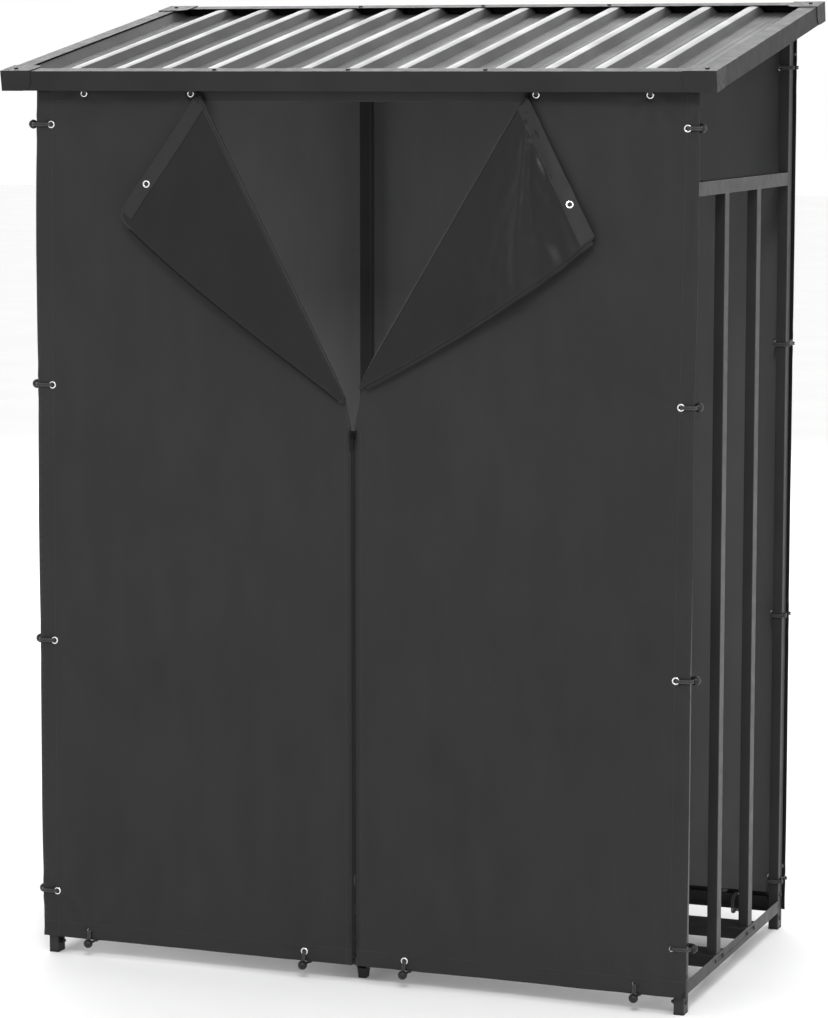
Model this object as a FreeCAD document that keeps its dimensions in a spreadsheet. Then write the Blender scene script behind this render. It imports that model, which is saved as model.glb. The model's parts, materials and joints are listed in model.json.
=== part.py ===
import FreeCAD, Part
import math
import os
import re

import Sketcher
from FreeCAD import Placement, Rotation, Vector

# Covered firewood rack: tube posts, a folded-steel roof frame with a corrugated
# sheet, a back cover, and a front cover whose zip is open at the top, with both
# corners folded outward.  Millimetres; +X right, +Y back, +Z up.  The origin is
# on the floor, in the middle of the overall box.

SIZES = {
    # frame, outside to outside of the posts
    "frame_width": 1320, "frame_depth": 716,
    "post_wide": 20, "post_deep": 30, "tube_wall": 1.5,
    "foot_thick": 4, "foot_insert": 15, "foot_play": 0.3,
    # roof, measured in its own tilted plane
    "roof_front_height": 1750, "roof_pitch": 9.86,
    "side_overhang": 55, "front_overhang": 45, "back_overhang": 23,
    "fascia_tall": 38, "flange_wide": 35, "roof_wall": 1.5,
    "cap_reach": 62, "cap_wall": 1.5, "cap_round": 20,
    "sheet_thick": 0.8, "sheet_play": 0.5,
    "rib_pitch": 96.5, "rib_crown": 20, "rib_slope": 9.5, "rib_tall": 15.5,
    "rafter_wide": 20, "rafter_tall": 20,
    # rails, bars, floor
    "rail_low": 35, "rail_tall": 26, "rail_deep": 22, "rail_wall": 1.5,
    "mid_rail_drop": 170,
    "bar_wide": 20, "bar_deep": 30,
    "upright_wide": 25, "upright_deep": 20, "upright_reach": 252,
    "beam_wide": 70, "beam_tall": 22, "beam_wall": 1.5, "notch_play": 0.5,
    "joist_wide": 20, "joist_tall": 20, "joist_setback": 34, "foot_taper": 2,
    # covers
    "cover_gap": 5.5, "cover_thick": 1, "cover_reach": 5,
    "hem_height": 35.5, "cover_rise": 5.5, "back_cover_rise": 9,
    "shoulder_drop": 2, "shoulder_play": 1,
    "flap_clearance": 4.56, "vee_depth": 624, "flap_trim": 25,
    "left_fold_reach": 315, "right_fold_reach": 347,
    "left_fold_rise": 24, "right_fold_rise": 51,
    "fold_radius": 4, "fold_play": 1,
    # eyelets and elastic loops
    "eyelet_radius": 7.5, "eyelet_bore": 4, "eyelet_lip": 0.8, "eyelet_seat": 5,
    "eyelet_inset": 26, "side_eyelet_low": 128, "side_eyelet_drop": 77,
    "back_eyelet_low": 101, "back_eyelet_drop": 92,
    "hem_eyelet_rise": 18.5, "top_eyelet_drop": 17,
    "outer_eyelet_inset": 97, "inner_eyelet_reach": 104, "fold_eyelet_reach": 16,
    "flap_eyelet_reach": 100, "flap_eyelet_drop": 14,
    "cord_radius": 1.8, "cord_play": 0.5, "cord_bend": 2.5, "ball_radius": 9,
    "ball_standoff": 7, "ball_hang": 4, "ball_inset": 13.5,
    # zip
    "zip_half_gap": 3.5, "chain_front": 2.5, "chain_back": 1,
    "zip_low": 56, "slider_drop": 17, "slider_wide": 12, "slider_tall": 16,
    "slider_wall": 2, "slider_play": 0.5, "ear_wide": 2, "ear_tall": 8, "ear_deep": 6,
    "pin_radius": 1, "pin_play": 0.3, "pull_wide": 7, "pull_long": 28, "pull_thick": 1.4,
    "pull_gap": 2,
    # fasteners
    "bolt_radius": 3, "bolt_play": 0.2, "bolt_head": 4.8, "bolt_head_top": 2.9,
    "bolt_head_tall": 2.5,
    "nut_flats_radius": 5.5, "nut_tall": 5, "bolt_tail": 3, "tab_bolt_reach": 25,
    "foot_bolt_height": 21.6, "post_bolt_height": 71,
    "roof_screw_radius": 4, "roof_screw_tall": 2, "roof_screw_step": 272,
    "cap_screw_inset": 22,
    # how far cutting shapes run past what they cut
    "spill": 1,
}

PLACES = {
    "half_width": "frame_width / 2",
    "roof_half": "half_width + side_overhang",
    "roof_cos": "cos(roof_pitch * 1 deg)",
    "roof_sin": "sin(roof_pitch * 1 deg)",
    "roof_length": "(front_overhang + frame_depth + back_overhang) / roof_cos",
    "roof_front": "(cap_wall * (roof_cos + roof_sin) - (roof_length + cap_wall) * roof_cos"
                  " - fascia_tall * roof_sin) / 2",
    "front_face": "roof_front + front_overhang",
    "back_face": "front_face + frame_depth",
    "rail_front": "front_face + post_deep",
    "rail_back": "back_face - post_deep",
    "rail_top": "rail_low + rail_tall",
    "bar_gap": "(frame_depth - 2 * post_deep - 2 * bar_deep) / 3",
    "bay_half": "half_width - post_wide",
    # depths below the top of the roof frame, square to the roof
    "sheet_low": "roof_wall + rib_tall + sheet_thick",
    "rafter_low": "sheet_low + rafter_tall",
    "front_post_top": "roof_front_height + front_overhang * roof_sin / roof_cos"
                      " - rafter_low / roof_cos",
    "back_rail_top": "front_post_top + (frame_depth - rail_deep) * roof_sin / roof_cos",
    # covers: middle planes of the cloth
    "front_cloth": "front_face - cover_gap - cover_thick / 2",
    "back_cloth": "back_face + cover_gap + cover_thick / 2",
    "cover_half": "half_width + cover_reach",
    "cover_top": "front_post_top + cover_rise",
    "back_cover_top": "back_rail_top + back_cover_rise",
    "mid_rail_top": "front_post_top - mid_rail_drop",
    "flap_top": "roof_front_height - fascia_tall * roof_cos - flap_clearance",
    "vee_height": "flap_top - vee_depth",
    "slider_height": "vee_height - slider_drop",
    "outer_eyelet_reach": "half_width - outer_eyelet_inset",
    "side_eyelet_step": "(cover_top - side_eyelet_drop - side_eyelet_low) / 3",
    "back_eyelet_step": "(back_cover_top - back_eyelet_drop - back_eyelet_low) / 3",
    "beam_low": "rail_top - beam_tall",
    "chain_top": "slider_height - slider_tall / 2",
    "pin_front": "front_cloth - chain_front - slider_play - slider_wall - ear_deep / 2",
}


def formula(text):
    """Write out named places and put the sheet's name before each cell."""
    def swap(match):
        word = match.group(0)
        if word in PLACES:
            return "(" + formula(PLACES[word]) + ")"
        if word in SIZES:
            return "sizes." + word
        return word
    return re.sub(r"[a-z][a-z_]*", swap, text)


doc = FreeCAD.newDocument("log_rack")
sheet = doc.addObject("Spreadsheet::Sheet", "sizes")
for row, (alias, size) in enumerate(SIZES.items(), start=1):
    sheet.set("A%d" % row, alias)
    sheet.set("B%d" % row, str(size))
    sheet.setAlias("B%d" % row, alias)
doc.recompute()
parts = []


def number(text):
    return float(sheet.evalExpression(formula(text)))


ALONG_X = Rotation(Vector(0, 1, 0), Vector(0, 0, 1), Vector(1, 0, 0), "XYZ")
FACING_FRONT = Rotation(Vector(1, 0, 0), 90)
TILT = Rotation(Vector(1, 0, 0), number("roof_pitch"))


# ---------------------------------------------------------------- helpers

def bind(thing, **formulas):
    for name, text in formulas.items():
        thing.setExpression(name, formula(text))


def move(thing, along, back, up, rotation=None):
    if rotation is not None:
        thing.Placement = Placement(Vector(), rotation)
    thing.setExpression("Placement.Base.x", formula(along))
    thing.setExpression("Placement.Base.y", formula(back))
    thing.setExpression("Placement.Base.z", formula(up))
    return thing


def name_part(thing, label):
    thing.Label = label
    parts.append(thing)
    return thing


def box(length, width, height, along, back, up):
    thing = doc.addObject("Part::Box", "block")
    bind(thing, Length=length, Width=width, Height=height)
    return move(thing, along, back, up)


def cylinder(radius, height, along, back, up, rotation=None):
    thing = doc.addObject("Part::Cylinder", "round")
    bind(thing, Radius=radius, Height=height)
    return move(thing, along, back, up, rotation)


def fuse(pieces):
    thing = doc.addObject("Part::MultiFuse", "joined")
    thing.Shapes = pieces
    thing.Refine = True
    return thing


def cut(base, *tools):
    for tool in tools:
        result = doc.addObject("Part::Cut", "cut")
        result.Base = base
        result.Tool = tool
        base = result
    return base


def copies(label, master, spots):
    """One node made of a copy of the master shape at each placement."""
    doc.recompute()
    shapes = []
    for spot in spots:
        shape = master.Shape.copy()
        shape.Placement = spot.multiply(shape.Placement)
        shapes.append(shape)
    thing = doc.addObject("Part::Feature", "group")
    thing.Shape = Part.makeCompound(shapes)
    return name_part(thing, label)


def padded_profile(label, corners, length, holes=()):
    """A body whose closed outline of bound corners is padded along its own Z."""
    body = doc.addObject("PartDesign::Body", "body")
    sketch = body.newObject("Sketcher::SketchObject", "outline")
    plane = [part for part in body.Origin.OriginFeatures if part.Role == "XY_Plane"][0]
    sketch.AttachmentSupport = [(plane, "")]
    sketch.MapMode = "FlatFace"
    points = [Vector(number(across), number(up), 0) for across, up in corners]
    for index, point in enumerate(points):
        following = points[(index + 1) % len(points)]
        sketch.addGeometry(Part.LineSegment(point, following), False)
    for index, (across, up) in enumerate(corners):
        before = (index - 1) % len(corners)
        sketch.addConstraint(Sketcher.Constraint("Coincident", before, 2, index, 1))
        for kind, text in (("DistanceX", across), ("DistanceY", up)):
            place = sketch.addConstraint(
                Sketcher.Constraint(kind, -1, 1, index, 1, number(text)))
            sketch.setExpression("Constraints[%d]" % place, formula(text))
    for across, up, radius in holes:
        centre = Vector(number(across), number(up), 0)
        hole = sketch.addGeometry(Part.Circle(centre, Vector(0, 0, 1), number(radius)), False)
        place = sketch.addConstraint(Sketcher.Constraint("Radius", hole, number(radius)))
        sketch.setExpression("Constraints[%d]" % place, formula(radius))
        for kind, text in (("DistanceX", across), ("DistanceY", up)):
            place = sketch.addConstraint(
                Sketcher.Constraint(kind, -1, 1, hole, 3, number(text)))
            sketch.setExpression("Constraints[%d]" % place, formula(text))
    pad = body.newObject("PartDesign::Pad", "pad")
    pad.Profile = sketch
    bind(pad, Length=length)
    return name_part(body, label)


def angle_profile(deep, tall, wall, deep_sign=1, tall_sign=1):
    """Corners of an L section whose outer corner is on the section's origin."""
    flat = "%d * (%s)" % (deep_sign, deep)
    high = "%d * (%s)" % (tall_sign, tall)
    flat_wall = "%d * %s" % (deep_sign, wall)
    high_wall = "%d * %s" % (tall_sign, wall)
    return [("0", "0"), (flat, "0"), (flat, high_wall), (flat_wall, high_wall),
            (flat_wall, high), ("0", high)]


def tube(wide, deep, tall, along, back, up):
    outer = box(wide, deep, tall, along, back, up)
    inner = box(wide + " - 2 * tube_wall", deep + " - 2 * tube_wall", tall,
                along + " + tube_wall", back + " + tube_wall", up)
    return cut(outer, inner)


def roof_place(along, slope, below):
    """World coordinates of a point given in the roof's own plane."""
    return (along,
            "roof_front + (%s) * roof_cos + (%s) * roof_sin" % (slope, below),
            "roof_front_height + (%s) * roof_sin - (%s) * roof_cos" % (slope, below))


def rounded_loop(points, bend):
    """A closed wire through the points with an arc of one radius at each."""
    edges = []
    count = len(points)
    trimmed = []
    for index, corner in enumerate(points):
        to_before = (points[index - 1] - corner).normalize()
        to_after = (points[(index + 1) % count] - corner).normalize()
        half = to_before.getAngle(to_after) / 2
        reach = bend / math.tan(half)
        middle = (to_before + to_after).normalize()
        top = corner + middle * (bend / math.sin(half) - bend)
        trimmed.append((corner + to_before * reach, top, corner + to_after * reach))
    for index, (start, top, end) in enumerate(trimmed):
        edges.append(Part.Arc(start, top, end).toShape())
        following = trimmed[(index + 1) % count][0]
        if end.distanceToPoint(following) > 0.01:
            edges.append(Part.LineSegment(end, following).toShape())
    return Part.Wire(edges)


def cord_ring(points):
    wire = rounded_loop(points, number("cord_bend"))
    start = wire.Edges[0].Vertexes[0].Point
    direction = wire.Edges[0].tangentAt(wire.Edges[0].FirstParameter)
    circle = Part.Wire(Part.makeCircle(number("cord_radius"), start, direction))
    ring = wire.makePipeShell([circle], True, False, 1)
    return ring


# ---------------------------------------------------------------- posts and feet

def roof_cutter():
    """Everything above the underside of the rafters."""
    block = box("2 * roof_half", "roof_length + 2 * cap_reach", "roof_length", "0", "0", "0")
    return move(block, *roof_place("-roof_half", "-cap_reach", "rafter_low"), rotation=TILT)


def cross_hole(along, back, up, length):
    return cylinder("bolt_radius + bolt_play", length, along, back, up, ALONG_X)


POST_SPOTS = {
    "front_left": ("-half_width", "front_face"),
    "front_right": ("half_width - post_wide", "front_face"),
    "back_left": ("-half_width", "back_face - post_deep"),
    "back_right": ("half_width - post_wide", "back_face - post_deep"),
}


def post(name, along, back):
    raw = tube("post_wide", "post_deep", "back_rail_top + post_deep", along, back,
               "foot_thick")
    holes = [cross_hole(along + " - spill", back + " + post_deep / 2", height,
                        "post_wide + 2 * spill")
             for height in ("foot_bolt_height", "post_bolt_height")]
    name_part(cut(raw, roof_cutter(), *holes), name + "_post")


def foot(name, along, back):
    inset = "tube_wall + foot_play"
    tread = box("post_wide", "post_deep", "foot_thick", along, back, "0")
    plug = box("post_wide - 2 * (%s)" % inset, "post_deep - 2 * (%s)" % inset,
               "foot_insert", along + " + " + inset, back + " + " + inset, "foot_thick / 2")
    name_part(fuse([tread, plug]), name + "_foot")


def upright(name, side):
    along = "%d * upright_reach - upright_wide / 2" % side
    low = "rail_low + rail_wall"
    tall = "back_rail_top - rail_wall - (%s)" % low
    back = "back_face - rail_wall - upright_deep"
    name_part(tube("upright_wide", "upright_deep", tall, along, back, low), name)


# ---------------------------------------------------------------- rails, bars and floor

def cross_rail(label, back, up, deep_sign, tall_sign):
    """An L section along X between the posts, outer corner at (back, up)."""
    corners = angle_profile("rail_deep", "rail_tall", "rail_wall", deep_sign, tall_sign)
    body = padded_profile(label, corners, "2 * bay_half")
    move(body, "-bay_half", back, up, ALONG_X)


def side_rail(label, side, up, tall_sign, holes=()):
    """An L section along Y between the posts, outer face flush with them."""
    corners = angle_profile("rail_deep", "rail_tall", "rail_wall", -side, tall_sign)
    body = padded_profile(label, corners, "rail_back - rail_front")
    move(body, "%d * half_width" % side, "rail_back", up, FACING_FRONT)
    if holes:
        parts.remove(body)
        body.Label = label + "_section"
        name_part(cut(body, *holes), label)


def bar_front(number_along):
    return "rail_front + %d * bar_gap + %d * bar_deep" % (number_along, number_along - 1)


def bar_middle(number_along):
    return bar_front(number_along) + " + bar_deep / 2"


TAB_BOLTS = [(side, bar_middle(which) + " + %d * tab_bolt_reach" % sign)
             for side in (-1, 1) for which in (1, 2) for sign in (-1, 1)]
TAB_BOLT_HEIGHT = "rail_top - beam_tall / 2"


def tab_holes(side):
    start = "%d * half_width - bar_wide / 2" % side
    return [cross_hole(start, back, TAB_BOLT_HEIGHT, "bar_wide")
            for bolt_side, back in TAB_BOLTS if bolt_side == side]


def side_bar(label, side, which):
    low = "rail_low + rail_wall"
    tall = "mid_rail_top - rail_wall - (%s)" % low
    if side > 0:
        along = "half_width - rail_wall - bar_wide"
    else:
        along = "-half_width + rail_wall"
    name_part(tube("bar_wide", "bar_deep", tall, along, bar_front(which), low), label)


def floor_beam(label, which):
    """A channel open below, with end tabs beside a notch that clears each bar."""
    half = "(half_width - rail_wall)"
    middle = bar_middle(which)
    outer = box("2 * " + half, "beam_wide", "beam_tall", "-" + half,
                middle + " - beam_wide / 2", "beam_low")
    inner = box("2 * %s - 2 * beam_wall" % half, "beam_wide - 2 * beam_wall", "beam_tall",
                "-%s + beam_wall" % half, middle + " - beam_wide / 2 + beam_wall",
                "beam_low - beam_wall")
    notches = []
    for side in (-1, 1):
        wide = "(bar_wide + notch_play)"
        start = "%s - %s" % (half, wide) if side > 0 else "-" + half
        notches.append(box(wide, "bar_deep + 2 * notch_play", "beam_tall", start,
                           middle + " - bar_deep / 2 - notch_play", "beam_low"))
    name_part(cut(outer, inner, *(notches + tab_holes(-1) + tab_holes(1))), label)


def centre_joist():
    length = "frame_depth - 2 * joist_setback"
    start = "front_face + joist_setback"
    low = "beam_low - joist_tall"
    outer = box("joist_wide", length, "joist_tall", "-joist_wide / 2", start, low)
    inner = box("joist_wide - 2 * tube_wall", length, "joist_tall - 2 * tube_wall",
                "-joist_wide / 2 + tube_wall", start, low + " + tube_wall")
    name_part(cut(outer, inner), "centre_joist")


def centre_foot(label, back):
    """A block that narrows towards the floor."""
    foot_block = doc.addObject("Part::Wedge", "narrowing_block")
    bind(foot_block, Xmin="0", Xmax="joist_wide", Zmin="0", Zmax="joist_wide",
         Ymin="0", Ymax="beam_low - joist_tall", X2min="foot_taper",
         X2max="joist_wide - foot_taper", Z2min="foot_taper",
         Z2max="joist_wide - foot_taper")
    downward = Rotation(Vector(1, 0, 0), -90)
    move(foot_block, "-joist_wide / 2", back, "beam_low - joist_tall", downward)
    name_part(foot_block, label)


# ---------------------------------------------------------------- roof

def rafter(label, side):
    along = "half_width - rafter_wide" if side > 0 else "-half_width"
    length = "roof_length - 2 * roof_wall"
    outer = box("rafter_wide", length, "rafter_tall", "0", "0", "0")
    inner = box("rafter_wide - 2 * tube_wall", length, "rafter_tall - 2 * tube_wall",
                "tube_wall", "0", "tube_wall")
    body = name_part(cut(outer, inner), label)
    move(body, *roof_place(along, "roof_wall", "rafter_low"), rotation=TILT)


def end_fascia(label, slope, deep_sign):
    corners = angle_profile("flange_wide", "fascia_tall", "roof_wall", deep_sign, -1)
    body = padded_profile(label, corners, "2 * roof_half")
    move(body, *roof_place("-roof_half", slope, "0"), rotation=TILT * ALONG_X)


def side_fascia(label, side):
    corners = angle_profile("flange_wide", "fascia_tall", "roof_wall", -side, -1)
    body = padded_profile(label, corners, "roof_length - 2 * flange_wide")
    move(body, *roof_place("%d * roof_half" % side, "roof_length - flange_wide", "0"),
         rotation=TILT * FACING_FRONT)


def rounding_tool(size, long, along, back, up, rotation, x_sign, y_sign):
    """What is left outside a quarter round, as a cutter along its own Z."""
    square = doc.addObject("Part::Box", "corner")
    bind(square, Length=size, Width=size, Height=long)
    quarter = doc.addObject("Part::Cylinder", "quarter")
    bind(quarter, Radius=size, Height=long)
    move(quarter, size if x_sign < 0 else "0", size if y_sign < 0 else "0", "0")
    return move(cut(square, quarter), along, back, up, rotation)


def roof_cap(label, side, end):
    """A moulded corner shell over the ends of two fascias."""
    reach = "(cap_reach + cap_wall)"
    tall = "(fascia_tall + cap_wall)"
    along = "0" if side < 0 else "-" + reach
    back = "0" if end < 0 else "-" + reach
    outer = box(reach, reach, tall, along, back, "-" + tall)
    hollow_along = "cap_wall" if side < 0 else "-%s - spill" % reach
    hollow_back = "cap_wall" if end < 0 else "-%s - spill" % reach
    hollow = box("cap_reach + spill", "cap_reach + spill", "fascia_tall + spill",
                 hollow_along, hollow_back, "-%s - spill" % tall)
    # lower inner corner of the end face, then of the side face, then of the top
    along_edge = reach + " - cap_round" if side < 0 else "-" + reach
    back_edge = reach + " - cap_round" if end < 0 else "-" + reach
    end_tool = rounding_tool("cap_round", "4 * cap_reach", along_edge, "2 * cap_reach",
                             "-" + tall, FACING_FRONT, -side, -1)
    side_tool = rounding_tool("cap_round", "4 * cap_reach", "-2 * cap_reach", back_edge,
                              "-" + tall, ALONG_X, -end, -1)
    top_tool = rounding_tool("cap_round", "3 * fascia_tall", along_edge, back_edge,
                             "-2 * fascia_tall", Rotation(), -side, -end)
    shell = cut(outer, hollow, end_tool, side_tool, top_tool)
    name_part(shell, label)
    slope = "-cap_wall" if end < 0 else "roof_length + cap_wall"
    move(shell, *roof_place("%d * (roof_half + cap_wall)" % side, slope, "-cap_wall"),
         rotation=TILT)


def roof_sheet():
    """One sheet with trapezoid ribs running down the slope."""
    half = "(roof_half - roof_wall - sheet_play)"
    foot_half = "(rib_crown / 2 + rib_slope)"
    count = int(number("(2 * (roof_half - flange_wide) - rib_pitch) / rib_pitch"))
    upper = [("-" + half, "0")]
    for rib in range(count):
        middle = "%s * rib_pitch" % (rib - (count - 1) / 2)
        upper += [("%s - %s" % (middle, foot_half), "0"),
                  ("%s - rib_crown / 2" % middle, "rib_tall"),
                  ("%s + rib_crown / 2" % middle, "rib_tall"),
                  ("%s + %s" % (middle, foot_half), "0")]
    upper.append((half, "0"))
    lower = [(along, up + " - sheet_thick") for along, up in reversed(upper)]
    body = padded_profile("roof_sheet", upper + lower,
                          "roof_length - 2 * roof_wall - 2 * sheet_play")
    move(body, *roof_place("0", "roof_length - roof_wall - sheet_play",
                           "roof_wall + rib_tall"), rotation=TILT * FACING_FRONT)


def roof_screws():
    head = cylinder("roof_screw_radius", "roof_screw_tall", "0", "0", "0")
    spots = []
    for slope in ("flange_wide / 2", "roof_length - flange_wide / 2"):
        for step in (-1, 0, 1):
            spots.append(roof_place("%d * roof_screw_step" % step, slope, "0"))
    for side in (-1, 1):
        for slope in ("cap_screw_inset", "roof_length - cap_screw_inset"):
            spots.append(roof_place("%d * (roof_half - cap_screw_inset)" % side, slope,
                                    "-cap_wall"))
    placements = [Placement(Vector(*[number(text) for text in spot]), TILT)
                  for spot in spots]
    copies("roof_screws", head, placements)


# ---------------------------------------------------------------- fasteners

def bolt_spots():
    """Head side of each bolt: (side, back, height, length through the steel)."""
    spots = [(side, back, TAB_BOLT_HEIGHT, "rail_wall + beam_wall")
             for side, back in TAB_BOLTS]
    for side in (-1, 1):
        for back in ("front_face + post_deep / 2", "back_face - post_deep / 2"):
            for height in ("foot_bolt_height", "post_bolt_height"):
                spots.append((side, back, height, "post_wide"))
    return spots


def frame_bolts():
    """Round-headed bolts put in from outside, with hexagon nuts inside."""
    bolts = []
    nuts = []
    radius = number("bolt_radius")
    head = number("bolt_head")
    head_top = number("bolt_head_top")
    head_tall = number("bolt_head_tall")
    nut_tall = number("nut_tall")
    for side, back, height, grip in bolt_spots():
        inward = Vector(-side, 0, 0)
        face = Vector(side * number("half_width"), number(back), number(height))
        length = number(grip) + nut_tall + number("bolt_tail")
        shank = Part.makeCylinder(radius, length, face, inward)
        dome = Part.makeCone(head, head_top, head_tall, face, inward * -1)
        bolts.append(shank.fuse(dome).removeSplitter())
        corners = [Vector(0, math.cos(turn * math.pi / 3), math.sin(turn * math.pi / 3))
                   * number("nut_flats_radius") for turn in range(7)]
        seat = face + inward * number(grip)
        hexagon = Part.Face(Part.makePolygon([seat + corner for corner in corners]))
        nut = hexagon.extrude(inward * nut_tall)
        nuts.append(nut.cut(Part.makeCylinder(radius, length, face, inward)))
    for label, shapes in (("frame_bolts", bolts), ("frame_nuts", nuts)):
        group = doc.addObject("Part::Feature", "fasteners")
        group.Shape = Part.makeCompound(shapes)
        name_part(group, label)


# ---------------------------------------------------------------- covers

def hem_spots():
    spots = [(reach, "hem_height + hem_eyelet_rise")
             for reach in ("outer_eyelet_reach", "inner_eyelet_reach")]
    return [("%d * %s" % (side, reach), up) for side in (-1, 1) for reach, up in spots]


def edge_spots(low, step):
    return [("%d * (half_width - eyelet_inset)" % side, "%s + %d * %s" % (low, which, step))
            for side in (-1, 1) for which in range(4)]


FOLD_REACH = {-1: "left_fold_reach", 1: "right_fold_reach"}
FOLD_FOOT = {-1: "(vee_height + left_fold_rise)", 1: "(vee_height + right_fold_rise)"}
FRONT_EDGE_SPOTS = edge_spots("side_eyelet_low", "side_eyelet_step")
BACK_EDGE_SPOTS = edge_spots("back_eyelet_low", "back_eyelet_step")
HEM_SPOTS = hem_spots()
FRONT_TOP_SPOTS = [("%d * %s" % (side, reach), "cover_top - top_eyelet_drop")
                   for side in (-1, 1)
                   for reach in ("outer_eyelet_reach",
                                 "(%s + fold_eyelet_reach)" % FOLD_REACH[side])]
BACK_TOP_SPOTS = [("%d * %s" % (side, reach), "back_cover_top - top_eyelet_drop")
                  for side in (-1, 1)
                  for reach in ("outer_eyelet_reach", "inner_eyelet_reach")]


def eyelet_holes(spots, side=None):
    return [(along, up, "eyelet_seat") for along, up in spots
            if side is None or number(along) * side > 0]


def fold_slope(side):
    """How far the fold runs outward for each millimetre that it rises."""
    return "(%s / (flap_top - %s))" % (FOLD_REACH[side], FOLD_FOOT[side])


def shoulder(side, rail_top):
    """Top outer corner of a cover, stepped down to pass under the rafter."""
    inner = "%d * (half_width - rafter_wide - shoulder_play)" % side
    return inner, "%s - shoulder_drop" % rail_top


def front_panel(label, side):
    foot, slope = FOLD_FOOT[side], fold_slope(side)
    shift = "fold_play * sqrt(1 + %s * %s)" % (slope, slope)
    step_along, step_up = shoulder(side, "front_post_top")
    corners = [
        ("%d * cover_half" % side, "hem_height"),
        ("%d * zip_half_gap" % side, "hem_height"),
        ("%d * zip_half_gap" % side, "%s + (zip_half_gap - %s) / %s" % (foot, shift, slope)),
        ("%d * ((cover_top - %s) * %s + %s)" % (side, foot, slope, shift), "cover_top"),
        (step_along, "cover_top"),
        (step_along, step_up),
        ("%d * cover_half" % side, step_up),
    ]
    holes = eyelet_holes(FRONT_EDGE_SPOTS + HEM_SPOTS + FRONT_TOP_SPOTS, side)
    body = padded_profile(label, corners, "cover_thick", holes)
    move(body, "0", "front_cloth + cover_thick / 2", "0", FACING_FRONT)


def back_cover():
    right_step, step_up = shoulder(1, "back_rail_top")
    left_step = shoulder(-1, "back_rail_top")[0]
    corners = [("-cover_half", "hem_height"), ("cover_half", "hem_height"),
               ("cover_half", step_up), (right_step, step_up),
               (right_step, "back_cover_top"), (left_step, "back_cover_top"),
               (left_step, step_up), ("-cover_half", step_up)]
    holes = eyelet_holes(BACK_EDGE_SPOTS + HEM_SPOTS + BACK_TOP_SPOTS)
    body = padded_profile("back_cover", corners, "cover_thick", holes)
    move(body, "0", "back_cloth + cover_thick / 2", "0", FACING_FRONT)


def folded_over(side):
    """Half a turn about the fold, which lies in front of the cloth."""
    foot = FOLD_FOOT[side]
    fold = Vector(side * number(FOLD_REACH[side]), 0, number("flap_top - " + foot))
    centre = Vector(0, number("front_cloth - fold_radius"), number(foot))
    return Placement(Vector(), Rotation(fold, 180), centre)


def flap_eyelet_spot(side):
    return "%d * flap_eyelet_reach" % side, "flap_top - flap_eyelet_drop"


def flap(label, side):
    """The corner beside the zip, drawn closed and then folded outward."""
    foot, slope = FOLD_FOOT[side], fold_slope(side)
    shift = "fold_play * sqrt(1 + %s * %s)" % (slope, slope)
    low = "(%s + flap_trim)" % foot
    corners = [
        ("%d * zip_half_gap" % side, low),
        ("%d * zip_half_gap" % side, "flap_top"),
        ("%d * ((flap_top - %s) * %s - %s)" % (side, foot, slope, shift), "flap_top"),
        ("%d * (flap_trim * %s - %s)" % (side, slope, shift), low),
    ]
    along, up = flap_eyelet_spot(side)
    body = padded_profile(label, corners, "cover_thick", [(along, up, "eyelet_seat")])
    flat = Placement(Vector(0, number("front_cloth + cover_thick / 2"), 0), FACING_FRONT)
    body.Placement = folded_over(side).multiply(flat)


# ---------------------------------------------------------------- eyelets and elastics

def eyelet_master():
    """Two lips and a barrel, centred on the cloth, axis along Y."""
    total = "(cover_thick + 2 * eyelet_lip)"
    outer = cylinder("eyelet_radius", total, "0", total + " / 2", "0", FACING_FRONT)
    bore = cylinder("eyelet_bore", "2 * " + total, "0", total, "0", FACING_FRONT)
    groove_outer = cylinder("2 * eyelet_radius", "cover_thick", "0", "cover_thick / 2", "0",
                            FACING_FRONT)
    groove_inner = cylinder("eyelet_seat", "cover_thick", "0", "cover_thick / 2", "0",
                            FACING_FRONT)
    return cut(outer, bore, cut(groove_outer, groove_inner))


def eyelet_group(label, master, spots, cloth):
    placements = [Placement(Vector(number(along), number(cloth), number(up)), Rotation())
                  for along, up in spots]
    return copies(label, master, placements)


def edge_ring(along, up, cloth, outward):
    """Round the post: through the eyelet, behind the tube and past the cloth's edge."""
    side = 1 if number(along) > 0 else -1
    clear = number("cord_radius + cord_play")
    inner = number(along)
    outer = side * (number("cover_half") + clear)
    near = number(cloth) + outward * (number("cover_thick / 2 + eyelet_lip") + clear)
    far_face = "front_face + post_deep" if outward < 0 else "back_face - post_deep"
    far = number(far_face) - outward * clear
    height = number(up)
    return cord_ring([Vector(inner, near, height), Vector(inner, far, height),
                      Vector(outer, far, height), Vector(outer, near, height)])


def rail_ring(along, up, cloth, outward, face, low, high, first):
    """Through the eyelet, round a rail, and back past the edge of the cloth."""
    clear = number("cord_radius + cord_play")
    near = number(cloth) + outward * (number("cover_thick / 2 + eyelet_lip") + clear)
    between = number(face) + outward * clear
    far = number(face) - outward * (number("rail_deep") + clear)
    above = number(high) + clear
    below = number(low) - clear
    across = number(along)
    start = number(up)
    turn, back_to = (above, below) if first == "over" else (below, above)
    points = [(near, start), (between, start), (between, turn), (far, turn),
              (far, back_to), (near, back_to)]
    return cord_ring([Vector(across, back, height) for back, height in points])


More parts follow.
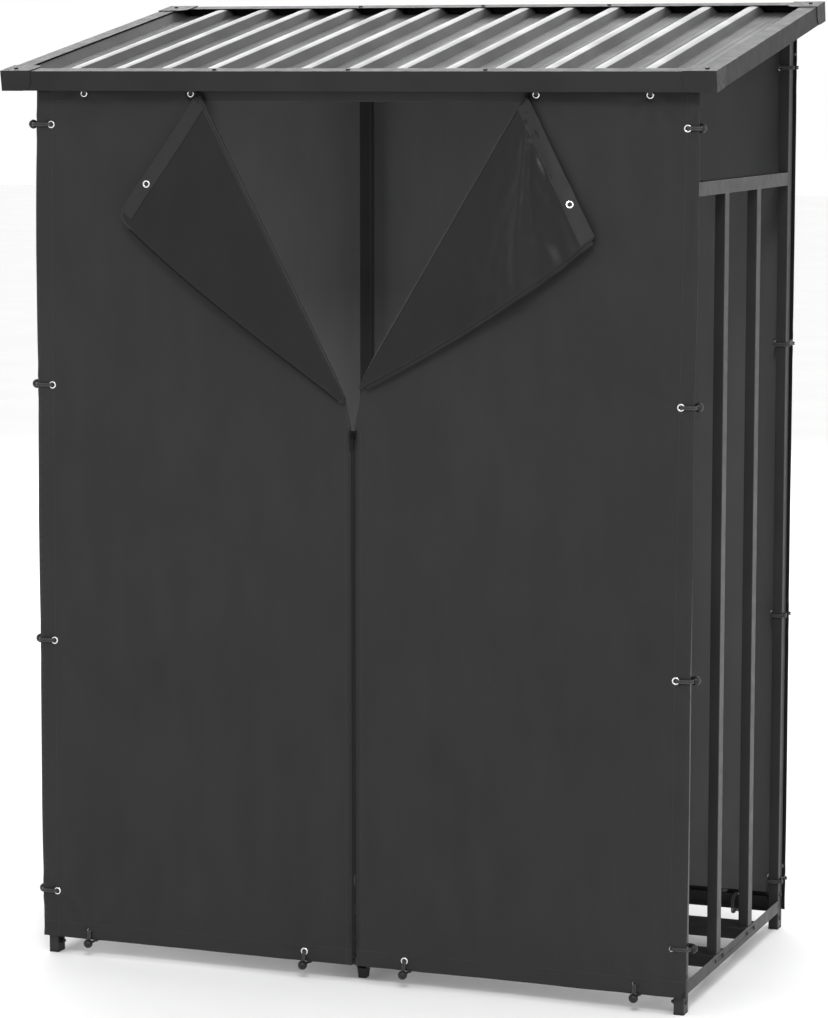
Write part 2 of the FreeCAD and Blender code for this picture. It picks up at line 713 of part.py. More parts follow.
def elastics(name, cloth, outward, edges, tops, rail_face, rail_high, cloth_high):
    """Cord loops and their balls for one cover."""
    clear = number("cord_radius + cord_play")
    ball = number("ball_radius")
    standoff = number("ball_standoff")
    hang = number("ball_hang")
    inset = number("ball_inset")
    near = number(cloth) + outward * (number("cover_thick / 2 + eyelet_lip") + clear)
    rings = []
    centres = []
    for along, up in edges:
        side = 1 if number(along) > 0 else -1
        rings.append(edge_ring(along, up, cloth, outward))
        beside = side * (number("cover_half") + clear)
        if outward < 0:
            centre = Vector(beside + side * standoff, number("front_face") + ball, number(up))
        else:
            centre = Vector(beside - side * inset, near + standoff, number(up))
        centres.append(centre)
    for along, up in HEM_SPOTS:
        rings.append(rail_ring(along, up, cloth, outward, rail_face,
                               "rail_low", "rail_top", "over"))
        centres.append(Vector(number(along), near + outward * standoff,
                              number("rail_low") - clear - hang))
    for along, up in tops:
        rings.append(rail_ring(along, up, cloth, outward, rail_face,
                               rail_high + " - rail_tall", cloth_high, "under"))
        centres.append(Vector(number(along), near + outward * standoff,
                              number(cloth_high) + clear - hang))
    balls = [Part.makeSphere(ball, centre) for centre in centres]
    cords = [ring.cut(each) for ring, each in zip(rings, balls)]
    for label, shapes in ((name + "_elastic_cords", cords), (name + "_elastic_balls", balls)):
        group = doc.addObject("Part::Feature", "elastic")
        group.Shape = Part.makeCompound(shapes)
        name_part(group, label)


# ---------------------------------------------------------------- zip

def zip_chain():
    chain = box("2 * zip_half_gap", "chain_front + chain_back", "chain_top - zip_low",
                "-zip_half_gap", "front_cloth - chain_front", "zip_low")
    name_part(chain, "zip_chain")


def zip_slider():
    """A channel that rides over the front of the teeth, with an ear for the pull."""
    low = "slider_height - slider_tall / 2"
    front = "front_cloth - chain_front - slider_play - slider_wall"
    deep = "slider_wall + chain_front + slider_play - cover_thick / 2 - slider_play"
    block = box("slider_wide", deep, "slider_tall", "-slider_wide / 2", front, low)
    channel = box("2 * (zip_half_gap + slider_play)", deep, "slider_tall + 2 * spill",
                  "-zip_half_gap - slider_play", front + " + slider_wall", low + " - spill")
    ear = box("ear_wide", "ear_deep", "ear_tall", "-ear_wide / 2", front + " - ear_deep",
              "slider_height - ear_tall / 2")
    bore = cylinder("pin_radius + pin_play", "ear_wide + 2 * spill", "-ear_wide / 2 - spill",
                    "pin_front", "slider_height", ALONG_X)
    name_part(cut(fuse([cut(block, channel), ear]), bore), "zip_slider")


def zip_pull():
    arm_gap = "(ear_wide / 2 + pin_play)"
    arm_wide = "(pull_wide / 2 - %s)" % arm_gap
    back = "pin_front - pull_thick / 2"
    reach = "(ear_tall / 2 + pull_gap)"
    plate = box("pull_wide", "pull_thick", "pull_long - " + reach, "-pull_wide / 2", back,
                "slider_height - pull_long")
    arms = [box(arm_wide, "pull_thick", reach + " + pin_radius", start, back,
                "slider_height - " + reach)
            for start in (arm_gap, "-%s - %s" % (arm_gap, arm_wide))]
    pin = cylinder("pin_radius", "2 * %s + pin_radius" % arm_gap,
                   "-%s - pin_radius / 2" % arm_gap, "pin_front", "slider_height", ALONG_X)
    name_part(fuse([plate] + arms + [pin]), "zip_pull")


# ---------------------------------------------------------------- assembly

for post_name, (post_along, post_back) in POST_SPOTS.items():
    post(post_name, post_along, post_back)
    foot(post_name, post_along, post_back)
upright("back_left_upright", -1)
upright("back_right_upright", 1)

cross_rail("front_bottom_rail", "front_face", "rail_low", 1, 1)
cross_rail("back_bottom_rail", "back_face", "rail_low", -1, 1)
cross_rail("front_top_rail", "front_face", "front_post_top", 1, -1)
cross_rail("back_top_rail", "back_face", "back_rail_top", -1, -1)
for side_name, side_sign in (("left", -1), ("right", 1)):
    side_rail(side_name + "_bottom_rail", side_sign, "rail_low", 1, tab_holes(side_sign))
    side_rail(side_name + "_mid_rail", side_sign, "mid_rail_top", -1)
    side_bar(side_name + "_front_bar", side_sign, 1)
    side_bar(side_name + "_back_bar", side_sign, 2)
floor_beam("front_floor_beam", 1)
floor_beam("back_floor_beam", 2)
centre_joist()
centre_foot("front_centre_foot", "front_face + joist_setback")
centre_foot("back_centre_foot", "back_face - joist_setback - joist_wide")

rafter("left_rafter", -1)
rafter("right_rafter", 1)
end_fascia("front_roof_edge", "0", 1)
end_fascia("back_roof_edge", "roof_length", -1)
side_fascia("left_roof_edge", -1)
side_fascia("right_roof_edge", 1)
for end_name, end_sign in (("front", -1), ("back", 1)):
    for side_name, side_sign in (("left", -1), ("right", 1)):
        roof_cap("%s_%s_roof_cap" % (end_name, side_name), side_sign, end_sign)
roof_sheet()
roof_screws()
frame_bolts()

back_cover()
front_panel("front_cover_left", -1)
front_panel("front_cover_right", 1)
flap("left_flap", -1)
flap("right_flap", 1)
zip_chain()
zip_slider()
zip_pull()

eyelet = eyelet_master()
eyelet_group("front_eyelets", eyelet, FRONT_EDGE_SPOTS + HEM_SPOTS + FRONT_TOP_SPOTS,
             "front_cloth")
eyelet_group("back_eyelets", eyelet, BACK_EDGE_SPOTS + HEM_SPOTS + BACK_TOP_SPOTS,
             "back_cloth")
for side_name, side_sign in (("left", -1), ("right", 1)):
    flap_eyelet = eyelet_group(side_name + "_flap_eyelet", eyelet,
                               [flap_eyelet_spot(side_sign)], "front_cloth")
    flap_eyelet.Placement = folded_over(side_sign)
elastics("front", "front_cloth", -1, FRONT_EDGE_SPOTS, FRONT_TOP_SPOTS, "front_face",
         "front_post_top", "cover_top")
elastics("back", "back_cloth", 1, BACK_EDGE_SPOTS, BACK_TOP_SPOTS, "back_face",
         "back_rail_top", "back_cover_top")

doc.recompute()
for thing in doc.Objects:
    if "Invalid" in thing.State or "Error" in thing.State:
        raise RuntimeError("%s failed: %s" % (thing.Label, thing.State))
os.makedirs("parts", exist_ok=True)
for part in parts:
    if part.Shape.isNull() or not part.Shape.isValid():
        raise RuntimeError(part.Label + " has no valid shape")
for part in parts:
    part.Shape.exportStep("parts/%s.step" % part.Label)
print(len(parts), "parts written")
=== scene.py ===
"""Looks of the firewood rack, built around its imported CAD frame.  Metres, row frame."""

import json
import math

import bmesh
import bpy
from mathutils import Matrix, Vector, geometry, noise


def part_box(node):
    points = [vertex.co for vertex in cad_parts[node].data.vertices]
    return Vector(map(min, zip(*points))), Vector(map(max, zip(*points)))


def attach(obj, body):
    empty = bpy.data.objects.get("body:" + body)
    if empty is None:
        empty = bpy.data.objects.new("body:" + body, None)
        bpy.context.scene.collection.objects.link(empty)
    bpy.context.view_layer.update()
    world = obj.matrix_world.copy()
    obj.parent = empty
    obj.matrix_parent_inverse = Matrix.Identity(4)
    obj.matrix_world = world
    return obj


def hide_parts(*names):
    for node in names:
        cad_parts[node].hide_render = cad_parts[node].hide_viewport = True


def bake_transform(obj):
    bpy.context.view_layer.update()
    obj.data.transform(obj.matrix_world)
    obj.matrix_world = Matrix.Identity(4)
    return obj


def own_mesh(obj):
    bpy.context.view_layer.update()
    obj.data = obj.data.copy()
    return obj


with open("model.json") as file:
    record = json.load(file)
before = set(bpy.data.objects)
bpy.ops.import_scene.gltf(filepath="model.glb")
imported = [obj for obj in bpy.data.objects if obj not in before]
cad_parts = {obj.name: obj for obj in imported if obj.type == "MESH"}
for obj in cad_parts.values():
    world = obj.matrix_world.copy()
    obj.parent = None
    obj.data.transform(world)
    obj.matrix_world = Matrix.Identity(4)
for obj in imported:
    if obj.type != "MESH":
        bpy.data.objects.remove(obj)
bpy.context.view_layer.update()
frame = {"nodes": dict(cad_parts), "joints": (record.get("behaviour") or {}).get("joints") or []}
NODES = frame["nodes"]
JOINTS = {joint["name"]: joint for joint in frame["joints"]}

# ---- places from the frame

COVER_LOW, COVER_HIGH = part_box("front_cover_right")
BACK_LOW, BACK_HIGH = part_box("back_cover")
CHAIN_LOW, CHAIN_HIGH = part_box("zip_chain")
SHEET_LOW, SHEET_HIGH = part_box("roof_sheet")
FRONT_CLOTH = (COVER_LOW.y + COVER_HIGH.y) / 2
BACK_CLOTH = (BACK_LOW.y + BACK_HIGH.y) / 2
COVER_HALF = COVER_HIGH.x
HEM_HEIGHT = COVER_LOW.z
COVER_TOP = COVER_HIGH.z
ZIP_EDGE = COVER_LOW.x
FOLD_JOINTS = {-1: JOINTS["left_flap_fold"], 1: JOINTS["right_flap_fold"]}
FOLD_FRONT = FOLD_JOINTS[1]["pos_m"][1]
FOLD_RADIUS = FRONT_CLOTH - FOLD_FRONT
FLAP_CLOTH = FOLD_FRONT - FOLD_RADIUS
FLAP_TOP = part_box("left_flap")[1].z + 0.001
VEE_HEIGHT = FLAP_TOP - 0.624
STEP_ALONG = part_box("right_rafter")[0].x - 0.001
STEP_DROP, BACK_STEP = 0.0075, 0.011

# ---- sizes of what is made here

CLOTH_THICK = 0.001
CLOTH_PITCH, ROW_SHARE, EDGE_SHARE = 0.009, 0.87, 0.45
FLAP_PITCH, BACK_PITCH = 0.006, CLOTH_PITCH * 1.5
CLOTH_HOLE, HOLE_CLEAR = 0.005, 0.009
HEM_WIDE = 0.033
HEM_SEAM, HEM_BEHIND = HEM_WIDE - 0.002, 0.0011
STITCH_LONG, STITCH_WIDE, STITCH_STEP, STITCH_OUT = 0.0032, 0.0007, 0.0048, 0.0006
ZIP_SEAM = 0.016
SWELL_MOST = 0.004
SWELL_HIGH, SWELL_WIDE = 0.0045, 0.36
RIPPLE_HIGH, RIPPLE_WIDE = 0.0016, 0.11
PUCKER_HIGH, PUCKER_AWAY, PUCKER_WIDE = 0.0014, 0.035, 0.016
DRAG_HIGH, DRAG_FADE, DRAG_REACH, DRAG_LINES = 0.0016, 0.09, 0.3, 7
SIDE_SWAY = ((0.0025, 1.4), (0.0, 1.14), (0.002, 0.88), (0.0, 0.63), (0.001, 0.3),
             (-0.001, HEM_HEIGHT + 0.018))
VEE_SPREAD, VEE_TAUT = 0.22, 0.06
FLAP_TRIM = 0.025
FLAP_HEM, FLAP_HEM_END, FLAP_HEM_OUT = HEM_WIDE * 0.85, 0.012, 0.0013
CURL_RISE = {-1: 0.017, 1: 0.021}
CURL_REACH, CURL_TURN, CURL_SPAN = 0.3, 0.62, 0.24
FOLD_ROWS, FOLD_COLUMNS = 70, 13
TIP_ROUND = {-1: 0.03, 1: 0.008}
TOP_GATHER = {-1: 0.08, 1: 0.13}
CORNER_TUCK = 0.012
COVER_DRIFT = {-1: (-0.003, 0.010), 1: (0.004, 0.016)}
DRIFT_START, DRIFT_SPAN = 0.35, 0.25
EDGE_START, EDGE_SPAN = 0.645, 0.016
TOOTH_STEP, TOOTH_LONG, TOOTH_WIDE, TOOTH_TALL = 0.003, 0.0019, 0.0042, 0.0024
FLAP_TOOTH_WIDE, FLAP_TOOTH_TALL, FLAP_TOOTH_OUT = 0.0032, 0.0022, 0.0012
TAPE_WIDE, TAPE_BEHIND, TAPE_SEAMS, SEAM_RADIUS = 0.011, 0.0012, (0.001, 0.0055), 0.0007
STOP_SIZE, STOP_DROP, STOP_OUT = (0.0085, 0.005, 0.0036), 0.002, 0.0008
TAPE_SHOWS = {-1: 0.001, 1: 0.006}
TAPE_GAP = {-1: 0.0, 1: 0.005}
FOLD_GAP = 0.0008
EYELET_OUTER, EYELET_BORE, EYELET_RISE = 0.0075, 0.004, 0.0016
CORD_RADIUS, CORD_SPREAD, CORD_CLEAR = 0.0017, 0.0018, 0.0005
POST_REACH, CORD_LIFT, CORD_BEHIND = 0.05, 0.0012, 0.0026
BALL_RADIUS, BALL_BORE = 0.009, 0.0032
ROOF_PITCH = math.radians(9.86)
RIB_COUNT, RIB_TALL, RIB_PITCH, RIB_CROWN, RIB_SLOPE = 13, 0.0155, 0.0965, 0.020, 0.0095
CROWN_CAMBER, RIB_BEND, CROWN_HIGHLIGHT_FROM = 0.0006, 0.0022, 0.014
SHEET_THICK, SHEET_ROWS = 0.0008, 24
SWAGE_TALL, SWAGE_HALF, SWAGE_PLACES = 0.0011, 0.0035, (-0.39, -0.13, 0.13, 0.39)
BORDER_RISE, BORDER_SLOPE = 0.0135, 0.016
EDGE_ROUND = {"tube": 0.0016, "folded": 0.0009, "moulded": 0.0022, "small": 0.0006}


# ---- materials

class Material:
    """A node material whose links are made by name."""

    def __init__(self, name):
        self.made = bpy.data.materials.new(name)
        self.made.use_nodes = True
        self.tree = self.made.node_tree
        self.shader = self.tree.nodes["Principled BSDF"]
        self.place = self.add("ShaderNodeTexCoord").outputs["Object"]

    def add(self, kind, **settings):
        """A new node, its properties or inputs set by name."""
        node = self.tree.nodes.new(kind)
        for key, value in settings.items():
            if hasattr(node, key):
                setattr(node, key, value)
            else:
                node.inputs[key.replace("_", " ")].default_value = value
        return node

    def join(self, start, end):
        """Link an output to an input."""
        self.tree.links.new(start, end)

    def shade(self, **values):
        """Set the shader's own inputs to uniform values."""
        for key, value in values.items():
            self.shader.inputs[key.replace("_", " ")].default_value = value

    def stretched(self, scale):
        """Object coordinates scaled along each axis."""
        mapping = self.add("ShaderNodeMapping", Scale=scale)
        self.join(self.place, mapping.inputs["Vector"])
        return mapping.outputs["Vector"]

    def noise(self, scale, detail=3.0, stretch=None):
        """Soft noise, drawn out along an axis where a stretch is given."""
        node = self.add("ShaderNodeTexNoise", Scale=scale, Detail=detail)
        self.join(self.stretched(stretch) if stretch else self.place, node.inputs["Vector"])
        return node.outputs["Fac"]

    def wave(self, direction, period):
        """Even bands, one each period; the texture repeats every pi / 10 / Scale metres."""
        node = self.add("ShaderNodeTexWave", bands_direction=direction,
                        Scale=math.pi / 10 / period)
        self.join(self.place, node.inputs["Vector"])
        return node.outputs["Fac"]

    def mix(self, kind, first, second):
        """Two values joined by a sum or a product."""
        node = self.add("ShaderNodeMath", operation=kind)
        self.join(first, node.inputs[0])
        if isinstance(second, float):
            node.inputs[1].default_value = second
        else:
            self.join(second, node.inputs[1])
        return node.outputs[0]

    def rough(self, value, low, high):
        """Drive the roughness between two values."""
        node = self.add("ShaderNodeMapRange", From_Min=0.3, From_Max=0.7, To_Min=low,
                        To_Max=high)
        self.join(value, node.inputs["Value"])
        self.join(node.outputs["Result"], self.shader.inputs["Roughness"])

    def coloured(self, value, dark, light):
        """A colour between dark and light."""
        ramp = self.add("ShaderNodeValToRGB")
        for stop, position, colour in zip(ramp.color_ramp.elements, (0.3, 0.7), (dark, light)):
            stop.position = position
            stop.color = (*colour, 1)
        self.join(value, ramp.inputs["Fac"])
        return ramp.outputs["Color"]

    def worn(self, colour, edge_colour, amount):
        """Mix an edge colour in where the surface is convex."""
        edge = self.add("ShaderNodeMapRange", From_Min=0.52, From_Max=0.62, To_Max=amount)
        pointed = self.add("ShaderNodeNewGeometry").outputs["Pointiness"]
        self.join(pointed, edge.inputs["Value"])
        blend = self.add("ShaderNodeMix", data_type="RGBA")
        self.join(edge.outputs["Result"], blend.inputs["Factor"])
        self.join(colour, blend.inputs[6])
        blend.inputs[7].default_value = (*edge_colour, 1)
        return blend.outputs[2]

    def paint(self, colour):
        self.join(colour, self.shader.inputs["Base Color"])

    def bump(self, height, depth, strength=1.0):
        """Relief laid over any relief that is there already."""
        node = self.add("ShaderNodeBump", Strength=strength, Distance=depth)
        self.join(height, node.inputs["Height"])
        before = self.shader.inputs["Normal"].links
        if before:
            self.join(before[0].from_socket, node.inputs["Normal"])
        self.join(node.outputs["Normal"], self.shader.inputs["Normal"])


def grey(value, blue=1.04):
    """A grey with a slight blue cast."""
    return (value, value, value * blue)


def coated_steel(name, dark, light, low_gloss, high_gloss, specular):
    """Satin powder coat: faint mottling, orange peel and edges rubbed a little lighter."""
    made = Material(name)
    broad = made.noise(7.0)
    made.paint(made.worn(made.coloured(broad, grey(dark), grey(light)), grey(light * 2.2), 0.5))
    made.rough(made.noise(40.0, 5.0), low_gloss, high_gloss)
    made.bump(made.noise(650.0, 2.0), 0.0001, 0.35)
    made.shade(Specular_IOR_Level=specular)
    return made.made


def roof_coat(name, dark, light, roughness, specular):
    """Smooth coil coat with faint dust and long water marks down the slope."""
    made = Material(name)
    dust = made.mix("ADD", made.noise(4.0), made.noise(6.0, 3.0, stretch=(14.0, 1.0, 1.0)))
    made.paint(made.coloured(made.mix("MULTIPLY", dust, 0.5), grey(dark), grey(light)))
    made.rough(made.noise(9.0, 4.0), roughness - 0.04, roughness + 0.05)
    made.bump(made.noise(800.0, 2.0), 0.00006, 0.2)
    made.shade(Specular_IOR_Level=specular)
    return made.made


def moulded_plastic(name, dark, light, roughness):
    """Matt moulding with a fine spark-eroded grain."""
    made = Material(name)
    made.paint(made.worn(made.coloured(made.noise(15.0), grey(dark), grey(light)),
                         grey(light * 2), 0.4))
    made.rough(made.noise(90.0, 4.0), roughness - 0.07, roughness + 0.07)
    made.bump(made.noise(1400.0, 2.0), 0.00012, 0.5)
    made.shade(Specular_IOR_Level=0.3)
    return made.made


def coated_cloth(name, dark, light, roughness, thread_depth, specular=0.28, crease=0.25,
                 crease_scale=45.0):
    """Woven polyester with a soft coating: crossed threads, slubs and faint mottling."""
    made = Material(name)
    broad = made.noise(2.3, 4.0)
    streaks = made.noise(5.0, 4.0, stretch=(5.0, 1.0, 1.2))
    made.paint(made.coloured(made.mix("MULTIPLY", made.mix("ADD", broad, streaks), 0.5),
                             grey(dark), grey(light)))
    made.rough(made.noise(6.0, 4.0), roughness - 0.06, roughness + 0.06)
    weave = made.mix("ADD", made.wave("X", 0.0014), made.wave("Z", 0.0014))
    made.bump(weave, thread_depth, 0.5)
    made.bump(made.noise(crease_scale, 4.0), 0.0006, crease)
    made.shade(Specular_IOR_Level=specular, Sheen_Weight=0.08, Sheen_Roughness=0.5)
    return made.made


def plated_metal(name, value, roughness):
    """Bright plating, slightly clouded."""
    made = Material(name)
    made.paint(made.coloured(made.noise(60.0), grey(value * 0.85), grey(value)))
    made.rough(made.noise(240.0), roughness - 0.05, roughness + 0.08)
    made.bump(made.noise(900.0, 2.0), 0.00005, 0.3)
    made.shade(Metallic=1.0)
    return made.made


def braided_cord(name):
    """Elastic cord in a braided sleeve."""
    made = Material(name)
    made.paint(made.coloured(made.noise(300.0), grey(0.012), grey(0.03)))
    made.rough(made.noise(120.0), 0.5, 0.7)
    made.bump(made.mix("MULTIPLY", made.wave("DIAGONAL", 0.0011), made.wave("Z", 0.0009)),
              0.0002, 0.8)
    made.shade(Sheen_Weight=0.15)
    return made.made


def sewing_thread(name):
    """Twisted thread."""
    made = Material(name)
    made.paint(made.coloured(made.noise(500.0), grey(0.02), grey(0.05)))
    made.rough(made.noise(400.0), 0.5, 0.7)
    made.bump(made.wave("DIAGONAL", 0.0004), 0.0001, 0.6)
    return made.made


FRAME_PAINT = coated_steel("frame_paint", dark=0.018, light=0.025, low_gloss=0.34,
                           high_gloss=0.44, specular=0.16)
FASCIA_PAINT = coated_steel("fascia_paint", dark=0.018, light=0.023, low_gloss=0.36,
                            high_gloss=0.44, specular=0.04)
ROOF_PAINT = roof_coat("roof_paint", dark=0.035, light=0.048, roughness=0.45, specular=0.15)
# Crown tops: a lighter, glossier copy of the roof paint, a painted highlight standing in for the
# light the crowns reflect.
CROWN_HIGHLIGHT_PAINT = roof_coat("crown_painted_highlight", dark=0.09, light=0.12, roughness=0.35, specular=0.36)
SCREW_PAINT = coated_steel("screw_paint", dark=0.005, light=0.01, low_gloss=0.4,
                           high_gloss=0.5, specular=0.15)
CAP_PLASTIC = moulded_plastic("cap_plastic", dark=0.005, light=0.009, roughness=0.5)
FOOT_PLASTIC = moulded_plastic("foot_plastic", dark=0.008, light=0.013, roughness=0.6)
BALL_PLASTIC = moulded_plastic("ball_plastic", dark=0.006, light=0.011, roughness=0.34)
ZIP_PLASTIC = moulded_plastic("zip_plastic", dark=0.002, light=0.004, roughness=0.55)
OUTER_CLOTH = coated_cloth("outer_cloth", dark=0.009, light=0.0145, roughness=0.62,
                           thread_depth=0.00012)
INNER_CLOTH = coated_cloth("inner_cloth", dark=0.004, light=0.007, roughness=0.36,
                           thread_depth=0.00005, specular=0.24, crease=0.4,
                           crease_scale=30.0)
# Lining: far lighter than the outer cloth, painted light standing in for light that reaches the
# shaded inside.
LINING_PAINTED_LIGHT_CLOTH = coated_cloth("lining_painted_light_cloth", dark=0.09, light=0.11, roughness=0.6,
                            thread_depth=0.0001)
TAPE_CLOTH = coated_cloth("tape_cloth", dark=0.01, light=0.016, roughness=0.7,
                          thread_depth=0.00015)
EYELET_METAL = plated_metal("eyelet_metal", value=0.82, roughness=0.16)
BOLT_METAL = coated_steel("bolt_metal", dark=0.008, light=0.014, low_gloss=0.3,
                          high_gloss=0.4, specular=0.3)
ZIP_METAL = coated_steel("zip_metal", dark=0.003, light=0.005, low_gloss=0.35,
                         high_gloss=0.45, specular=0.12)
CORD_SLEEVE = braided_cord("cord_sleeve")
THREAD = sewing_thread("thread")


# ---- pieces

def new_object(name, data):
    """An object added to the scene."""
    made = bpy.data.objects.new(name, data)
    bpy.context.scene.collection.objects.link(made)
    return made


def piece(name, vertices, faces, materials, body, slot, stands_for=(), smooth=True,
          face_materials=None):
    """A mesh object that rides a body and may stand for CAD nodes; its slot is not used."""
    mesh = bpy.data.meshes.new(name)
    mesh.from_pydata([tuple(point) for point in vertices], [], faces)
    for material in materials:
        mesh.materials.append(material)
    if face_materials:
        mesh.polygons.foreach_set("material_index", face_materials)
    mesh.polygons.foreach_set("use_smooth", [smooth] * len(mesh.polygons))
    mesh.update()
    made = new_object(name, mesh)
    if body:
        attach(made, body)
    if stands_for:
        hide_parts(*stands_for)
    return made


def thicken(made, thick=CLOTH_THICK):
    """Give a sheet its thickness, half to each side."""
    solid = made.modifiers.new("thickness", "SOLIDIFY")
    solid.thickness = thick
    solid.offset = 0
    return solid


def grid_faces(rows, columns, round_rows=False, round_columns=False):
    """Faces of a grid of vertices given row by row; either way may close into a ring."""
    faces = []
    for row in range(rows if round_rows else rows - 1):
        here, there = row * columns, (row + 1) % rows * columns
        for column in range(columns if round_columns else columns - 1):
            beside = (column + 1) % columns
            faces.append((here + column, here + beside, there + beside, there + column))
    return faces


class Shell:
    """Vertices and faces gathered from many small shapes into one mesh."""

    def __init__(self):
        self.vertices = []
        self.faces = []
        self.face_materials = []

    def add(self, vertices, faces, material=0):
        """Take in one small shape."""
        start = len(self.vertices)
        self.vertices += vertices
        self.faces += [[start + corner for corner in face] for face in faces]
        self.face_materials += [material] * len(faces)

    def block(self, centre, along, across, up, size, material=0, taper=0.75):
        """A small block narrowed at its top, its size given along the three directions."""
        corners = []
        for high in (-0.5, 0.5):
            width = taper if high > 0 else 1.0
            for one, other in ((-1, -1), (1, -1), (1, 1), (-1, 1)):
                corners.append(centre + along * (one * size[0] / 2 * width)
                               + across * (other * size[1] / 2 * width)
                               + up * (high * size[2]))
        self.add(corners, [(3, 2, 1, 0), (4, 5, 6, 7), (0, 1, 5, 4), (1, 2, 6, 5),
                           (2, 3, 7, 6), (3, 0, 4, 7)], material)

    def turned(self, profile, place, count=40):
        """A closed profile of (radius, height) turned about the local Z of a placement."""
        ring = []
        for turn in range(count):
            angle = 2 * math.pi * turn / count
            for radius, height in profile:
                ring.append(place @ Vector((radius * math.cos(angle),
                                            radius * math.sin(angle), height)))
        faces = grid_faces(count, len(profile), round_rows=True, round_columns=True)
        self.add(ring, [(first, last, third, second) for first, second, third, last in faces])

    def tube(self, line, radius, sides, closed=False):
        """A round tube along a line of points."""
        count = len(line)
        rings = []
        side_way = Vector((0.31, 0.53, 0.79))
        for index, point in enumerate(line):
            before = line[index - 1] if index or closed else point
            after = line[(index + 1) % count] if index + 1 < count or closed else point
            way = (after - before).normalized()
            side_way = (side_way - way * side_way.dot(way)).normalized()
            other = way.cross(side_way)
            for turn in range(sides):
                angle = 2 * math.pi * turn / sides
                rings.append(point + (side_way * math.cos(angle) + other * math.sin(angle))
                             * radius)
        faces = grid_faces(count, sides, round_rows=closed, round_columns=True)
        if not closed:
            faces.append(list(reversed(range(sides))))
            faces.append([(count - 1) * sides + turn for turn in range(sides)])
        self.add(rings, faces)

    def made(self, name, materials, body, slot, stands_for=(), smooth=True):
        """One piece of all that was gathered."""
        return piece(name, self.vertices, self.faces, materials, body, slot, stands_for,
                     smooth, self.face_materials)


def islands(node):
    """Centre of each separate solid of a CAD node."""
    shape = bmesh.new()
    shape.from_mesh(NODES[node].data)
    bmesh.ops.remove_doubles(shape, verts=shape.verts, dist=1e-6)
    left = set(shape.verts)
    centres = []
    while left:
        waiting = [left.pop()]
        found = list(waiting)
        while waiting:
            for edge in waiting.pop().link_edges:
                for vertex in edge.verts:
                    if vertex in left:
                        left.discard(vertex)
                        waiting.append(vertex)
                        found.append(vertex)
        low = Vector([min(vertex.co[axis] for vertex in found) for axis in range(3)])
        high = Vector([max(vertex.co[axis] for vertex in found) for axis in range(3)])
        centres.append((low + high) / 2)
    shape.free()
    return sorted(centres, key=lambda centre: (round(centre.z, 3), round(centre.x, 3)))


def smooth_line(points, step, closed=False):
    """Points of a Catmull-Rom curve through the given ones, about a step apart."""
    count = len(points)
    line = []
    for index in range(count if closed else count - 1):
        first = points[index - 1] if index or closed else points[0]
        start = points[index]
        end = points[(index + 1) % count]
        last = points[(index + 2) % count] if index + 2 < count or closed else end
        pieces = max(2, round((end - start).length / step))
        for part in range(pieces):
            t = part / pieces
            line.append(0.5 * (2 * start + (end - first) * t
                               + (2 * first - 5 * start + 4 * end - last) * t ** 2
                               + (3 * start - first - 3 * end + last) * t ** 3))
    if not closed:
        line.append(points[-1])
    return line


def eased(value):
    """A smooth step from 0 to 1 as the value goes from 0 to 1."""
    held = min(1.0, max(0.0, value))
    return held * held * (3 - 2 * held)


# ---- camera, floor and light

def make_camera():
    """The photo's viewpoint."""
    data = bpy.data.cameras.new("camera")
    data.sensor_width = 36
    data.lens = 120.48
    camera = new_object("camera", data)
    camera.location = (2.3876, -6.3160, 1.7557)
    turned, tipped = math.radians(20.80), math.radians(7.371)
    camera.rotation_euler = (math.pi / 2 - tipped, 0, turned)
    bpy.context.scene.camera = camera


def soft_box(name, place, target, size, power):
    """A rectangular studio light aimed at a point."""
    data = bpy.data.lights.new(name, "AREA")
    data.shape = "RECTANGLE"
    data.size, data.size_y = size
    data.energy = power
    lamp = new_object(name, data)
    lamp.location = place
    aim = Vector(target) - Vector(place)
    lamp.rotation_euler = aim.to_track_quat("-Z", "Y").to_euler()


def make_stage():
    """Pale floor, white surroundings and three soft boxes."""
    floor_material = Material("pale_floor")
    floor_material.paint(floor_material.coloured(floor_material.noise(1.5), (0.94, 0.94, 0.94),
                                                 (0.97, 0.97, 0.97)))
    floor_material.rough(floor_material.noise(20.0), 0.7, 0.85)
    reach = 40
    corners = [(-reach, -reach, 0), (reach, -reach, 0), (reach, reach, 0), (-reach, reach, 0)]
    mesh = bpy.data.meshes.new("floor")
    mesh.from_pydata(corners, [], [(0, 1, 2, 3)])
    mesh.materials.append(floor_material.made)
    floor = new_object("floor", mesh)
    world = bpy.data.worlds.new("studio")
    bpy.context.scene.world = world
    world.use_nodes = True
    background = world.node_tree.nodes["Background"]
    background.inputs["Color"].default_value = (1, 1, 1, 1)
    background.inputs["Strength"].default_value = 1.0
    soft_box("right_box", (5.5, -1.0, 2.6), target=(0, 0, 1), size=(3, 3), power=70)
    soft_box("back_box", (-2.5, 7.5, 4.6), target=(0, 0, 1.8), size=(9, 4), power=330)
    soft_box("front_box", (1.5, -4.9, 4.9), target=(0.2, -0.4, 1.2), size=(1.3, 1.3),
             power=150)
    bpy.context.scene.view_settings.view_transform = "Standard"


# ---- steel and plastic nodes

def finish_node(name, material, rounding):
    """Material and rounded edges of a CAD node, its mesh left as packed."""
    node = NODES[name]
    node.data.materials.clear()
    node.data.materials.append(material)
    weld = node.modifiers.new("weld", "WELD")
    weld.merge_threshold = 1e-5
    bevel = node.modifiers.new("rounded_edges", "BEVEL")
    bevel.width = EDGE_ROUND[rounding]
    bevel.segments = 3
    bevel.limit_method = "ANGLE"
    bevel.angle_limit = math.radians(35)
    bevel.harden_normals = True
    node.data.polygons.foreach_set("use_smooth", [True] * len(node.data.polygons))
    smooth = node.modifiers.new("smooth", "WEIGHTED_NORMAL")
    smooth.keep_sharp = True


